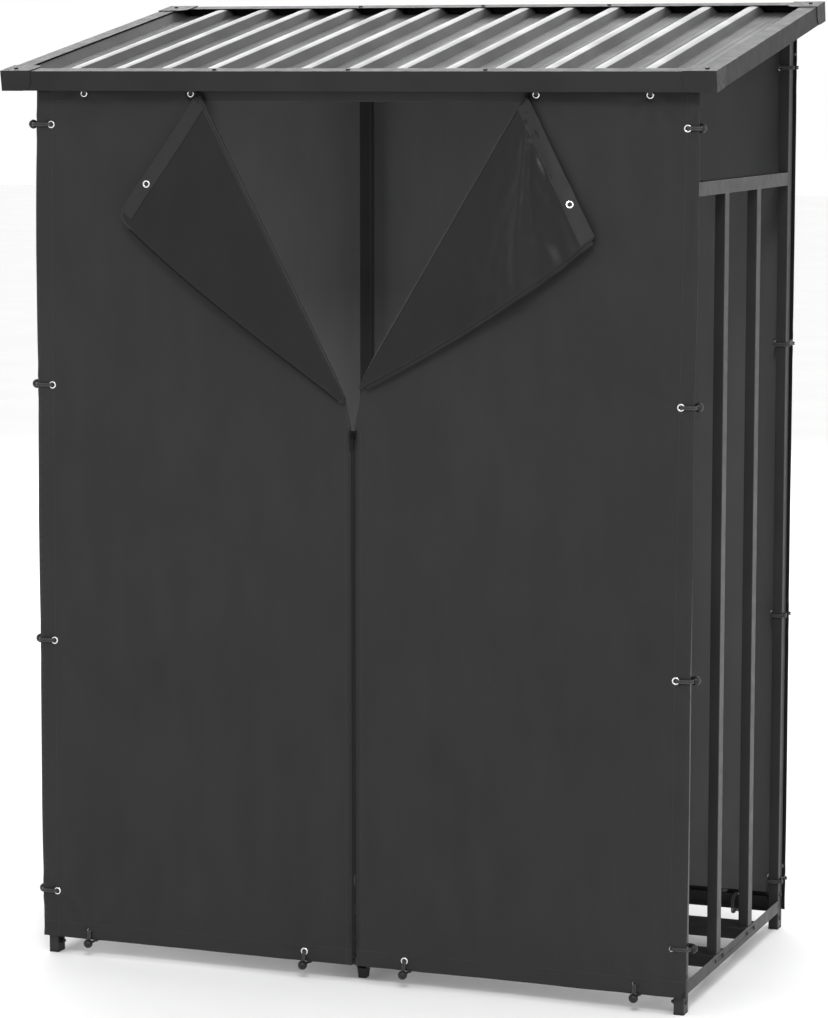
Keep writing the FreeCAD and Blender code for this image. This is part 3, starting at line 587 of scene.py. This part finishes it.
FINISHES = (
    (("_post", "_upright", "_bar", "_rafter", "_joist"), FRAME_PAINT, "tube"),
    (("_rail", "_beam"), FRAME_PAINT, "folded"),
    (("_roof_edge",), FASCIA_PAINT, "folded"),
    (("_roof_cap",), CAP_PLASTIC, "folded"),
    (("_foot",), FOOT_PLASTIC, "folded"),
    (("roof_screws",), SCREW_PAINT, "small"),
    (("frame_bolts", "frame_nuts"), BOLT_METAL, "small"),
    (("zip_slider", "zip_pull"), ZIP_METAL, "small"),
)


def finish_frame():
    """Finish of every node that keeps its CAD shape, by the end of its name."""
    for name in NODES:
        for endings, material, rounding in FINISHES:
            if name.endswith(endings):
                finish_node(name, material, rounding)


# ---- roof sheet

def arc_corner(before, corner, after, radius, steps=3):
    """Points that round a corner of a profile."""
    way_in = (before - corner).normalized()
    way_out = (after - corner).normalized()
    half = way_in.angle(way_out) / 2
    reach = min(radius / math.tan(half), (before - corner).length / 2.5,
                (after - corner).length / 2.5)
    start, end = corner + way_in * reach, corner + way_out * reach
    points = []
    for step in range(steps + 1):
        t = step / steps
        points.append(start * (1 - t) ** 2 + corner * 2 * t * (1 - t) + end * t ** 2)
    return points


def roof_profile(half):
    """Upper line of the sheet across its ribs and the small swages between them."""
    foot = RIB_CROWN / 2 + RIB_SLOPE
    flat = RIB_PITCH - 2 * foot
    lip = -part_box("left_roof_edge")[1].x
    corners = []
    for rib in range(RIB_COUNT + 1):
        valley = (rib - RIB_COUNT / 2) * RIB_PITCH
        for swage in SWAGE_PLACES:
            middle = valley + swage * flat
            corners += [Vector((middle - SWAGE_HALF, 0)), Vector((middle, SWAGE_TALL)),
                        Vector((middle + SWAGE_HALF, 0))]
        if rib < RIB_COUNT:
            crown = valley + RIB_PITCH / 2
            shoulder = RIB_TALL - CROWN_CAMBER
            corners += [Vector((crown - foot, 0)), Vector((crown - RIB_CROWN / 2, shoulder)),
                        Vector((crown, RIB_TALL)), Vector((crown + RIB_CROWN / 2, shoulder)),
                        Vector((crown + foot, 0))]
    corners = [corner for corner in corners if abs(corner.x) <= lip - BORDER_SLOPE]
    corners = ([Vector((-half, BORDER_RISE)), Vector((-lip, BORDER_RISE)),
                Vector((BORDER_SLOPE - lip, 0))] + corners
               + [Vector((lip - BORDER_SLOPE, 0)), Vector((lip, BORDER_RISE)),
                  Vector((half, BORDER_RISE))])
    profile = [corners[0]]
    for before, corner, after in zip(corners, corners[1:], corners[2:]):
        profile += arc_corner(before, corner, after, RIB_BEND)
    return profile + [corners[-1]]


def roof_sheet():
    """The corrugated sheet, its crown tops in a lighter copy of the roof paint as a painted
    highlight.
    """
    cosine, sine = math.cos(ROOF_PITCH), math.sin(ROOF_PITCH)
    tall = RIB_TALL + SHEET_THICK
    front = SHEET_LOW.y + tall * sine
    length = (SHEET_HIGH.y - front) / cosine
    profile = roof_profile(SHEET_HIGH.x)
    vertices = []
    for step in range(SHEET_ROWS + 1):
        slope = length * step / SHEET_ROWS
        for point in profile:
            up = point.y + SHEET_THICK / 2
            vertices.append(Vector((point.x, front + slope * cosine - up * sine,
                                    SHEET_LOW.z + slope * sine + up * cosine)))
    # Faces above this height are crown tops and take the painted highlight paint.
    crown_highlight_faces = [int(min(start.y, end.y) > CROWN_HIGHLIGHT_FROM)
               for start, end in zip(profile, profile[1:])]
    made = piece("roof_panel", vertices, grid_faces(SHEET_ROWS + 1, len(profile)),
                 [ROOF_PAINT, CROWN_HIGHLIGHT_PAINT], "rack", "roof_sheet_paint", ["roof_sheet"],
                 face_materials=crown_highlight_faces * SHEET_ROWS)
    thicken(made, SHEET_THICK)


# ---- cloth

def divided(corners, step):
    """The closed outline with points added so that none are further apart than a step."""
    line = []
    for start, end in zip(corners, corners[1:] + corners[:1]):
        count = max(1, math.ceil((end - start).length / step))
        line += [start.lerp(end, part / count) for part in range(count)]
    return line


def rounded(corners, index, radius):
    """The outline with one corner replaced by an arc."""
    count = len(corners)
    arc = arc_corner(corners[index - 1], corners[index], corners[(index + 1) % count],
                     radius, steps=7)
    return corners[:index] + arc + corners[index + 1:]


def inside(point, outline):
    """Whether a point is in the outline, and its distance from it."""
    crossed = False
    nearest = 1e9
    for start, end in zip(outline, outline[1:] + outline[:1]):
        if (start.y > point.y) != (end.y > point.y):
            if point.x < start.x + (point.y - start.y) / (end.y - start.y) * (end.x - start.x):
                crossed = not crossed
        near, share = geometry.intersect_point_line(point, start, end)
        near = start if share < 0 else end if share > 1 else near.to_2d()
        nearest = min(nearest, (near - point).length)
    return crossed, nearest


def cut_cloth(corners, holes, pitch=CLOTH_PITCH):
    """Triangles that fill an outline around its eyelet holes, in the cloth's own plane."""
    border = divided(corners, pitch)
    points = list(border)
    edges = [(index, (index + 1) % len(border)) for index in range(len(border))]
    for centre in holes:
        start = len(points)
        count = 20
        for turn in range(count):
            angle = 2 * math.pi * turn / count
            points.append(centre + Vector((math.cos(angle), math.sin(angle))) * CLOTH_HOLE)
            edges.append((start + turn, start + (turn + 1) % count))
    low = Vector((min(corner.x for corner in corners), min(corner.y for corner in corners)))
    high = Vector((max(corner.x for corner in corners), max(corner.y for corner in corners)))
    row = 0
    height = low.y + pitch / 2
    while height < high.y:
        along = low.x + (pitch / 2 if row % 2 else 0)
        while along < high.x:
            point = Vector((along, height))
            within, away = inside(point, corners)
            clear = all((point - centre).length > HOLE_CLEAR for centre in holes)
            if within and away > pitch * EDGE_SHARE and clear:
                points.append(point)
            along += pitch
        height += pitch * ROW_SHARE
        row += 1
    flat, _, faces, _, _, _ = geometry.delaunay_2d_cdt(points, edges, [], 1, 1e-7)
    kept = []
    for face in faces:
        middle = sum((flat[corner] for corner in face), Vector((0, 0))) / len(face)
        if all((middle - centre).length > CLOTH_HOLE for centre in holes):
            kept.append(list(face))
    return flat, kept


def soft_noise(along, up, size, seed):
    """Smooth noise whose features are about a size across."""
    return noise.noise(Vector((along / size, up / size, seed)))


def panel_lift(along, up, seed, eyelets, zip_edge=True):
    """How far a taut cover stands out from its plane: broad swells, drag lines, zip pucker."""
    lift = SWELL_HIGH * soft_noise(along, up * 0.6, SWELL_WIDE, seed)
    lift += RIPPLE_HIGH * soft_noise(along * 1.3 + up * 0.4, up * 0.5, RIPPLE_WIDE, seed + 7)
    if zip_edge:
        away = abs(along) - ZIP_EDGE
        lift *= eased((away - 0.012) / 0.05)
        lift += (PUCKER_HIGH * math.exp(-((away - PUCKER_AWAY) / PUCKER_WIDE) ** 2)
                 * soft_noise(0, up, 0.09, seed))
    for eyelet in eyelets:
        offset = Vector((along, up)) - eyelet
        away = offset.length
        if away < DRAG_REACH:
            turn = math.atan2(offset.y, offset.x)
            lift += (DRAG_HIGH * math.sin(turn * DRAG_LINES + seed)
                     * math.exp(-away / DRAG_FADE) * eased(away / 0.03))
    return lift


def limited(lift):
    """A lift kept within what a taut cover allows."""
    return max(-SWELL_MOST, min(SWELL_MOST, lift))


def stitch_row(shell, line, surface):
    """A row of stitches along a line in the cloth's plane, lying on a surface."""
    for start, end in zip(line, line[1:]):
        length = (end - start).length
        if length < STITCH_STEP:
            continue
        count = int(length / STITCH_STEP)
        way = (end - start) / length
        for index in range(count):
            middle = start + way * (index + 0.5) * (length / count)
            tail = surface(middle - way * STITCH_LONG / 2)
            head = surface(middle + way * STITCH_LONG / 2)
            along = (head - tail).normalized()
            across = Vector((0, 1, 0)).cross(along).normalized()
            shell.block((tail + head) / 2, along, across, across.cross(along),
                        (STITCH_LONG, STITCH_WIDE, STITCH_WIDE), 1)


def ribbon(shell, line, inward, wide, surface, columns=4, step=0.02):
    """A band of cloth beside a line in the cloth's plane, lying on a surface."""
    fine = []
    for start, end in zip(line, line[1:]):
        count = max(1, round((end - start).length / step))
        fine += [start.lerp(end, part / count) for part in range(count)]
    fine.append(line[-1])
    vertices = [surface(point + inward * (wide * column / (columns - 1)))
                for point in fine for column in range(columns)]
    shell.add(vertices, grid_faces(len(fine), columns))


def hem_shell(paths, surface):
    """Turned-in cloth and its stitching along the outer edges of a cover."""
    shell = Shell()
    for line, inward in paths:
        ribbon(shell, line, inward, HEM_WIDE, lambda p: surface(p, -HEM_BEHIND))
        stitch_row(shell, [point + inward * HEM_SEAM for point in line],
                   lambda p: surface(p, STITCH_OUT))
    return shell


def drift(along, up):
    """How far the front cover's outer part hangs off its true line, more so higher up."""
    side = 1 if along > 0 else -1
    low, rise = COVER_DRIFT[side]
    share = eased((abs(along) - DRIFT_START) / DRIFT_SPAN)
    if side > 0:
        share *= 1 - 0.5 * eased((abs(along) - EDGE_START) / EDGE_SPAN)
    return (low + rise * (up / COVER_TOP) ** 2) * share


def drifted(spot):
    """A place on the front cover, moved with it."""
    return Vector((spot.x + drift(spot.x, spot.z), spot.y, spot.z))


def flat_eyelets(node, side=0):
    """Eyelets of one side, or of both, in the cloth's plane."""
    return [Vector((centre.x, centre.z)) for centre in islands(node)
            if not side or centre.x * side > 0]


def fold_axes(side):
    """Foot of the fold line in the cloth's plane, its direction, and the way across it."""
    joint = FOLD_JOINTS[side]
    axis = Vector((joint["axis"][0], joint["axis"][2]))
    along = axis if axis.y > 0 else -axis
    across = Vector((along.y, -along.x)) * side
    return Vector((0, joint["pos_m"][2])), along, across


def vee_meeting(side):
    """Height at which the open zip's edge meets the fold line."""
    foot, along, _ = fold_axes(side)
    slope = abs(along.x / along.y)
    rise = (ZIP_EDGE + slope * (foot.y - VEE_HEIGHT)) / (slope - VEE_SPREAD)
    return VEE_HEIGHT + rise


def vee_line(side):
    """The open edge of a cover from the foot of the vee up to its top."""
    foot, along, _ = fold_axes(side)
    slope = abs(along.x / along.y)
    line = [Vector((side * ZIP_EDGE, VEE_HEIGHT))]
    for height in (vee_meeting(side), COVER_TOP):
        line.append(Vector((side * slope * (height - foot.y), height)))
    return line


def front_surface(side, eyelets):
    """Where a point of a front cover's plane lies, flat beside the fold line."""
    foot, _, across = fold_axes(side)

    def surface(point, outward=0.0):
        vee = 1.0
        if point.y > VEE_HEIGHT - 0.1:
            vee = eased((point - foot).dot(across) / VEE_TAUT)
        held = limited(panel_lift(point.x, point.y, 3.0 + side, eyelets) * vee)
        if abs(point.x) > 0.6 and held < 0:
            held *= 0.4
        return Vector((point.x + drift(point.x, point.y), FRONT_CLOTH - held - outward,
                       point.y))

    return surface


def front_outline(side):
    """Corners of a front cover: hem, open zip edge, top with its step, swaying side."""
    step_up = COVER_TOP - STEP_DROP
    corners = [Vector((side * (COVER_HALF - CORNER_TUCK * (side > 0)), HEM_HEIGHT)),
               Vector((side * ZIP_EDGE, HEM_HEIGHT))]
    corners += vee_line(side)
    corners += [Vector((side * STEP_ALONG, COVER_TOP)), Vector((side * STEP_ALONG, step_up)),
                Vector((side * COVER_HALF, step_up))]
    corners += [Vector((side * (COVER_HALF + out), height)) for out, height in SIDE_SWAY]
    return corners


def front_cover(side):
    """One half of the front cover with its hems and stitching."""
    name = "right" if side > 0 else "left"
    eyelets = flat_eyelets("front_eyelets", side)
    surface = front_surface(side, eyelets)
    flat, faces = cut_cloth(front_outline(side), eyelets)
    made = piece(name + "_front_cloth", [surface(point) for point in flat], faces,
                 [OUTER_CLOTH], "rack", "cover_cloth", ["front_cover_" + name])
    thicken(made)

    inner = side * (ZIP_EDGE + 0.001)
    outer = side * (COVER_HALF - 0.002)
    low, high = HEM_HEIGHT, COVER_TOP - STEP_DROP
    vee_top = abs(vee_line(side)[-1].x)
    shell = hem_shell([([Vector((outer, low)), Vector((inner, low))], Vector((0, 1))),
                       ([Vector((outer, low)), Vector((outer, high))], Vector((-side, 0))),
                       ([Vector((side * STEP_ALONG, COVER_TOP)),
                         Vector((side * vee_top, COVER_TOP))], Vector((0, -1)))], surface)
    stitch_row(shell, [Vector((side * ZIP_SEAM, low)),
                       Vector((side * ZIP_SEAM, VEE_HEIGHT - 0.01))],
               lambda p: surface(p, STITCH_OUT))
    hem = shell.made(name + "_front_hem", [INNER_CLOTH, THREAD], "rack", "cover_cloth")


def back_cover():
    """The back cover, its coated lining turned to the inside and coloured lighter as painted
    light for the shaded inside of the rack.
    """
    eyelets = flat_eyelets("back_eyelets")

    def surface(point, outward=0.0):
        held = limited(panel_lift(point.x, point.y, 11.0, eyelets, zip_edge=False))
        return Vector((point.x, BACK_CLOTH + held + outward, point.y))

    half, low, high = BACK_HIGH.x, BACK_LOW.z, BACK_HIGH.z
    step_up = high - BACK_STEP
    corners = [Vector((-half, low)), Vector((half, low)), Vector((half, step_up)),
               Vector((STEP_ALONG, step_up)), Vector((STEP_ALONG, high)),
               Vector((-STEP_ALONG, high)), Vector((-STEP_ALONG, step_up)),
               Vector((-half, step_up))]
    flat, faces = cut_cloth(corners, eyelets, BACK_PITCH)
    made = piece("back_cloth", [surface(point) for point in flat], faces,
                 [LINING_PAINTED_LIGHT_CLOTH, OUTER_CLOTH], "rack", "cover_cloth", ["back_cover"])
    thicken(made).material_offset = 1
    shell = hem_shell([([Vector((-half, low)), Vector((half, low))], Vector((0, 1))),
                       ([Vector((-STEP_ALONG, high)), Vector((STEP_ALONG, high))],
                        Vector((0, -1))),
                       ([Vector((-half, low)), Vector((-half, step_up))], Vector((1, 0))),
                       ([Vector((half, low)), Vector((half, step_up))], Vector((-1, 0)))],
                      surface)
    hem = shell.made("back_hem", [INNER_CLOTH, THREAD], "rack", "cover_cloth")


# ---- folded corners

def flap_shape(side):
    """Corners of a folded corner in (along the fold, across it), foot of the vee first."""
    foot, along, across = fold_axes(side)

    def folded(point):
        rel = point - foot
        return Vector((rel.dot(along), abs(rel.dot(across))))

    edge = side * (ZIP_EDGE + TAPE_GAP[side])
    zip_low = folded(Vector((edge, foot.y + FLAP_TRIM)))
    tip = folded(Vector((edge, FLAP_TOP)))
    fold_high = (FLAP_TOP - foot.y) / along.y
    return [Vector((zip_low.x, FOLD_GAP)), zip_low, tip, Vector((fold_high, FOLD_GAP))]


def flap_lift(side, turn, distance, along, across):
    """How far a folded corner stands off: a curl and folds that fan out from its top."""
    reach = eased(distance / CURL_REACH)
    if side > 0:
        curl = CURL_RISE[side] * eased(turn / CURL_TURN)
        curl *= 1 - 0.75 * eased((turn - CURL_TURN) / (1 - CURL_TURN))
        fan = 0.007 * math.sin(turn * 15 + 0.6) + 0.003 * math.sin(turn * 31 + along * 9)
        crumple = 0.0048 * soft_noise(turn * 0.9, distance, 0.11, 4.0)
        crumple += 0.0026 * soft_noise(turn * 0.7, distance, 0.04, 8.0)
        return (curl + fan * eased((turn - 0.2) / 0.4)) * reach + crumple * eased(turn / 0.5)
    curl = CURL_RISE[side] * eased(across / CURL_SPAN)
    return curl * reach + 0.0014 * soft_noise(along, across, 0.16, 9.0)


def flap_surface(side):
    """Where a point (along, across) of a folded corner lies, with its curl and folds."""
    foot, along, across = fold_axes(side)
    apex, tip = flap_shape(side)[3], flap_shape(side)[2]
    top_way = (tip - apex).normalized()
    widest = math.atan2(tip.y, apex.x - tip.x)

    def surface(point, outward=0.0):
        held = max(0.0, point.y)
        from_apex = Vector((apex.x - point.x, held))
        turn = min(1.0, math.atan2(held, max(1e-6, from_apex.x)) / widest)
        start = eased(held / 0.035)
        lift = flap_lift(side, turn, from_apex.length, point.x, point.y) * start
        drawn = point - top_way * (held / top_way.y * TOP_GATHER[side] * turn)
        spot = foot + along * drawn.x + across * drawn.y
        return Vector((spot.x, FLAP_CLOTH - max(0.0, lift) - outward, spot.y))

    return surface


def flap_eyelet_spot(side, name):
    """The corner's eyelet in (along the fold, across it)."""
    foot, along, across = fold_axes(side)
    low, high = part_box(name + "_flap_eyelet")
    middle = (low + high) / 2
    rel = Vector((middle.x, middle.z)) - foot
    return Vector((rel.dot(along), rel.dot(across)))


def side_of(start, end, towards):
    """Unit way along a line, and the unit way off it on the side of a point."""
    way = (end - start).normalized()
    off = Vector((-way.y, way.x))
    return way, off if off.dot(towards - start) >= 0 else -off


def flap_cloth(side, name, surface, corners, eyelet):
    """The folded corner itself: inner face seen when folded, outer face when closed."""
    outline = rounded(corners, 2, TIP_ROUND[side])
    flat, faces = cut_cloth(outline, [eyelet], FLAP_PITCH)
    faced = [OUTER_CLOTH, INNER_CLOTH] if side > 0 else [INNER_CLOTH, OUTER_CLOTH]
    cloth = piece(name + "_flap_cloth", [surface(point) for point in flat], faces, faced,
                  name + "_flap", "cover_cloth", [name + "_flap"])
    thicken(cloth).material_offset = 1
    return cloth


def flap_hem(side, name, surface, corners):
    """The cover's top hem, which the fold turns outward."""
    fold_low, _, tip, fold_high = corners
    way, inward = side_of(tip, fold_high, (fold_low + fold_high) / 2)
    line = [tip + way * TIP_ROUND[side] * 0.6, fold_high - way * FLAP_HEM_END]
    shell = Shell()
    ribbon(shell, line, inward, FLAP_HEM, lambda p: surface(p, FLAP_HEM_OUT), step=0.008)
    stitch_row(shell, [point + inward * (FLAP_HEM - 0.002) for point in line],
               lambda p: surface(p, 0.002))
    return shell.made(name + "_flap_hem", [OUTER_CLOTH, THREAD], name + "_flap",
                      "cover_cloth")


def flap_zip(side, name, surface, corners):
    """Tape and teeth of the open zip along the folded corner's lower edge."""
    fold_low, zip_low, tip, fold_high = corners
    way, inward = side_of(zip_low, tip, (fold_low + fold_high) / 2)
    outward = -inward
    line = [zip_low + way * 0.012, tip - way * TIP_ROUND[side]]
    line = [point + outward * TAPE_SHOWS[side] for point in line]
    shell = Shell()
    ribbon(shell, line, inward, TAPE_WIDE, lambda p: surface(p, -TAPE_BEHIND), 3, 0.008)
    length = (line[1] - line[0]).length
    for index in range(int(length / TOOTH_STEP)):
        flat_spot = line[0] + way * (index * TOOTH_STEP) + outward * FLAP_TOOTH_OUT
        spot = surface(flat_spot, 0.0004)
        ahead = (surface(flat_spot + way * 0.002, 0.0004) - spot).normalized()
        out = (surface(flat_spot + outward * 0.002, 0.0004) - spot).normalized()
        shell.block(spot, ahead, out, ahead.cross(out),
                    (TOOTH_LONG, FLAP_TOOTH_WIDE, FLAP_TOOTH_TALL), 1)
    return shell.made(name + "_flap_zip", [TAPE_CLOTH, ZIP_PLASTIC], name + "_flap",
                      "zip_teeth", smooth=False)


def flap_eyelet(name, surface, eyelet):
    """The eyelet of a folded corner, square to the cloth around it."""
    along, across = Vector((0.004, 0)), Vector((0, 0.004))
    one = surface(eyelet + along) - surface(eyelet - along)
    other = surface(eyelet + across) - surface(eyelet - across)
    facing = one.cross(other).normalized()
    if facing.y > 0:
        facing = -facing
    ring = Shell()
    ring.turned(eyelet_profile(), placed(surface(eyelet), facing))
    return ring.made(name + "_flap_eyelet_ring", [EYELET_METAL], name + "_flap",
                     "eyelet_metal", [name + "_flap_eyelet"])


def flap(side):
    """A folded corner with its hem, half zip, eyelet and the bend that joins it on."""
    name = "right" if side > 0 else "left"
    surface = flap_surface(side)
    corners = flap_shape(side)
    _, zip_low, tip, fold_high = corners
    eyelet = flap_eyelet_spot(side, name)
    cloth = flap_cloth(side, name, surface, corners, eyelet)
    hem = flap_hem(side, name, surface, corners)
    half_zip = flap_zip(side, name, surface, corners)
    metal = flap_eyelet(name, surface, eyelet)
    for made in (cloth, hem, half_zip, metal):
        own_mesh(made)
    fold_strip(side, name, fold_high.x)


def fold_strip(side, name, end):
    """The half turn of cloth between a cover and its folded corner."""
    foot, along, across = fold_axes(side)
    start = (vee_meeting(side) - foot.y) / along.y
    vertices = []
    for row in range(FOLD_ROWS + 1):
        point = foot + along * (start + (end - start) * row / FOLD_ROWS)
        narrow = eased(row / 6) * 0.7 + 0.3
        for column in range(FOLD_COLUMNS):
            turn = math.pi * column / (FOLD_COLUMNS - 1)
            bent = point - across * (FOLD_RADIUS * math.sin(turn) * narrow)
            vertices.append(Vector((bent.x, FOLD_FRONT + FOLD_RADIUS * math.cos(turn),
                                    bent.y)))
    strip = piece(name + "_fold", vertices, grid_faces(FOLD_ROWS + 1, FOLD_COLUMNS),
                  [OUTER_CLOTH], None, "cover_cloth")
    thicken(strip)
    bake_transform(strip)


# ---- zip

def zip_closed():
    """Tapes, moulded teeth and bottom stop of the closed part of the zip."""
    shell = Shell()
    front = FRONT_CLOTH - 0.0006
    low, high = CHAIN_LOW.z, CHAIN_HIGH.z
    right, up, ahead = Vector((1, 0, 0)), Vector((0, 0, 1)), Vector((0, -1, 0))
    for side in (-1, 1):
        inner = side * (ZIP_EDGE - 0.002)
        ribbon(shell, [Vector((inner, low)), Vector((inner, high))], Vector((side, 0)),
               TAPE_WIDE, lambda p: Vector((p.x, FRONT_CLOTH + TAPE_BEHIND, p.y)), 3, 0.05)
        for reach in TAPE_SEAMS:
            seam = side * (ZIP_EDGE + reach)
            shell.tube([Vector((seam, front, low)), Vector((seam, front, high))],
                       SEAM_RADIUS, 6)
    height = low
    side = 1
    while height < high:
        centre = Vector((side * 0.0011, FRONT_CLOTH, height))
        shell.block(centre, right, up, ahead, (TOOTH_WIDE, TOOTH_LONG, TOOTH_TALL), 1)
        side = -side
        height += TOOTH_STEP / 2
    shell.block(Vector((0, front - STOP_OUT, low - STOP_DROP)), right, up, ahead, STOP_SIZE, 1)
    shell.made("zip_teeth", [TAPE_CLOTH, ZIP_PLASTIC], "rack", "zip_teeth", ["zip_chain"],
               smooth=False)


# ---- eyelets and elastics

def placed(centre, facing):
    """A placement whose local Z points the way that an eyelet faces."""
    turn = facing.to_track_quat("Z", "Y").to_matrix().to_4x4()
    return Matrix.Translation(centre) @ turn


def eyelet_profile():
    """Rolled lip in front, barrel, and washer behind."""
    half = CLOTH_THICK / 2
    lip = (EYELET_OUTER - EYELET_BORE) / 2
    middle = EYELET_BORE + lip
    profile = []
    for step in range(9):
        angle = math.pi * step / 8
        profile.append((middle + lip * math.cos(angle), half + EYELET_RISE * math.sin(angle)))
    profile.append((EYELET_BORE, -half - 0.0006))
    profile.append((middle, -half - 0.0011))
    profile.append((EYELET_OUTER, -half - 0.0002))
    return profile


def eyelets(name, node, centres, facing):
    """All the eyelets along the edges of one cover."""
    shell = Shell()
    for centre in centres:
        shell.turned(eyelet_profile(), placed(centre, facing))
    shell.made(name, [EYELET_METAL], "rack", "eyelet_metal", [node])


def ball_profile():
    """A bored ball with a fine mould seam."""
    start = math.asin(BALL_BORE / BALL_RADIUS)
    profile = []
    for step in range(19):
        angle = start + (math.pi - 2 * start) * step / 18
        radius = BALL_RADIUS + (0.00025 if step == 9 else 0.0)
        profile.append((radius * math.sin(angle), radius * math.cos(angle)))
    deep = BALL_RADIUS * 0.55
    profile += [(BALL_BORE * 0.8, -deep), (BALL_BORE * 0.8, deep)]
    return profile


def post_elastic(eyelet, ball, outward, near, behind):
    """One strand from the ball, through the eyelet, behind a post and back round it."""
    side = 1 if eyelet.x > 0 else -1
    wide = max(0.0, side * drift(side * COVER_HALF, eyelet.z)) if outward < 0 else 0.0
    edge = side * (COVER_HALF + wide + CORD_RADIUS + CORD_CLEAR)
    return [(ball.x - side * 0.002, ball.y, ball.z),
            (edge, near * 0.4 + eyelet.y * 0.6, eyelet.z),
            (edge - side * 0.012, near, eyelet.z),
            (eyelet.x + side * 0.005, near, eyelet.z),
            (eyelet.x, eyelet.y, eyelet.z),
            (eyelet.x - side * 0.0005, eyelet.y - outward * 0.012, eyelet.z),
            (eyelet.x + side * 0.002, behind, eyelet.z),
            (edge - side * 0.004, behind, eyelet.z),
            (edge + side * 0.0005, behind + outward * 0.006, eyelet.z)]


def rail_elastic(eyelet, ball, outward, near, behind):
    """One strand from the ball, through the eyelet, behind a rail and back round it."""
    way = 1 if ball.z > eyelet.z else -1
    edge = ball.z + way * 0.001
    return [(eyelet.x, ball.y, ball.z),
            (eyelet.x, near + outward * 0.001, (ball.z + eyelet.z) / 2),
            (eyelet.x, near, eyelet.z + way * 0.004),
            (eyelet.x, eyelet.y, eyelet.z),
            (eyelet.x, eyelet.y - outward * 0.0032, eyelet.z - way * 0.004),
            (eyelet.x, eyelet.y - outward * 0.0035, eyelet.z - way * 0.008),
            (eyelet.x, behind, eyelet.z),
            (eyelet.x, behind, edge),
            (eyelet.x, (behind + eyelet.y) / 2, edge)]


def elastics(name, cloth_eyelets, outward, post, rail):
    """Cord loops and balls of one cover; outward is -1 in front and 1 behind."""
    loops = Shell()
    balls = Shell()
    centres = islands(name + "_elastic_balls")
    for eyelet in cloth_eyelets:
        ball = min(centres, key=lambda centre: (centre - eyelet).length)
        near = eyelet.y + outward * (EYELET_RISE + CORD_RADIUS + CORD_LIFT)
        if abs(eyelet.x) > COVER_HALF - POST_REACH:
            spread = Vector((0, 0, CORD_SPREAD))
            line = post_elastic(eyelet, ball, outward, near, post - outward * CORD_BEHIND)
        else:
            ball = Vector((eyelet.x, ball.y, ball.z))
            spread = Vector((CORD_SPREAD, 0, 0))
            line = rail_elastic(eyelet, ball, outward, near, rail - outward * CORD_BEHIND)
        for sign in (-1, 1):
            moved = [Vector(point) + spread * sign for point in line]
            loops.tube(smooth_line(moved, 0.004, closed=True), CORD_RADIUS, 8, closed=True)
        balls.turned(ball_profile(), placed(ball, (eyelet - ball).normalized()), 32)
    loops.made(name + "_elastic_loops", [CORD_SLEEVE], "rack", "elastic_cord",
               [name + "_elastic_cords"])
    balls.made(name + "_elastic_beads", [BALL_PLASTIC], "rack", "elastic_ball",
               [name + "_elastic_balls"])


def fastenings():
    """Eyelets and elastics of both covers."""
    front = [drifted(centre) for centre in islands("front_eyelets")]
    back = islands("back_eyelets")
    eyelets("front_eyelet_rings", "front_eyelets", front, Vector((0, -1, 0)))
    eyelets("back_eyelet_rings", "back_eyelets", back, Vector((0, 1, 0)))
    elastics("front", front, -1, post=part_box("front_right_post")[1].y,
             rail=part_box("front_bottom_rail")[1].y)
    elastics("back", back, 1, post=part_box("back_right_post")[0].y,
             rail=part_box("back_bottom_rail")[0].y)


# ---- everything together

make_camera()
make_stage()
finish_frame()
roof_sheet()
front_cover(-1)
front_cover(1)
back_cover()
flap(-1)
flap(1)
zip_closed()
fastenings()
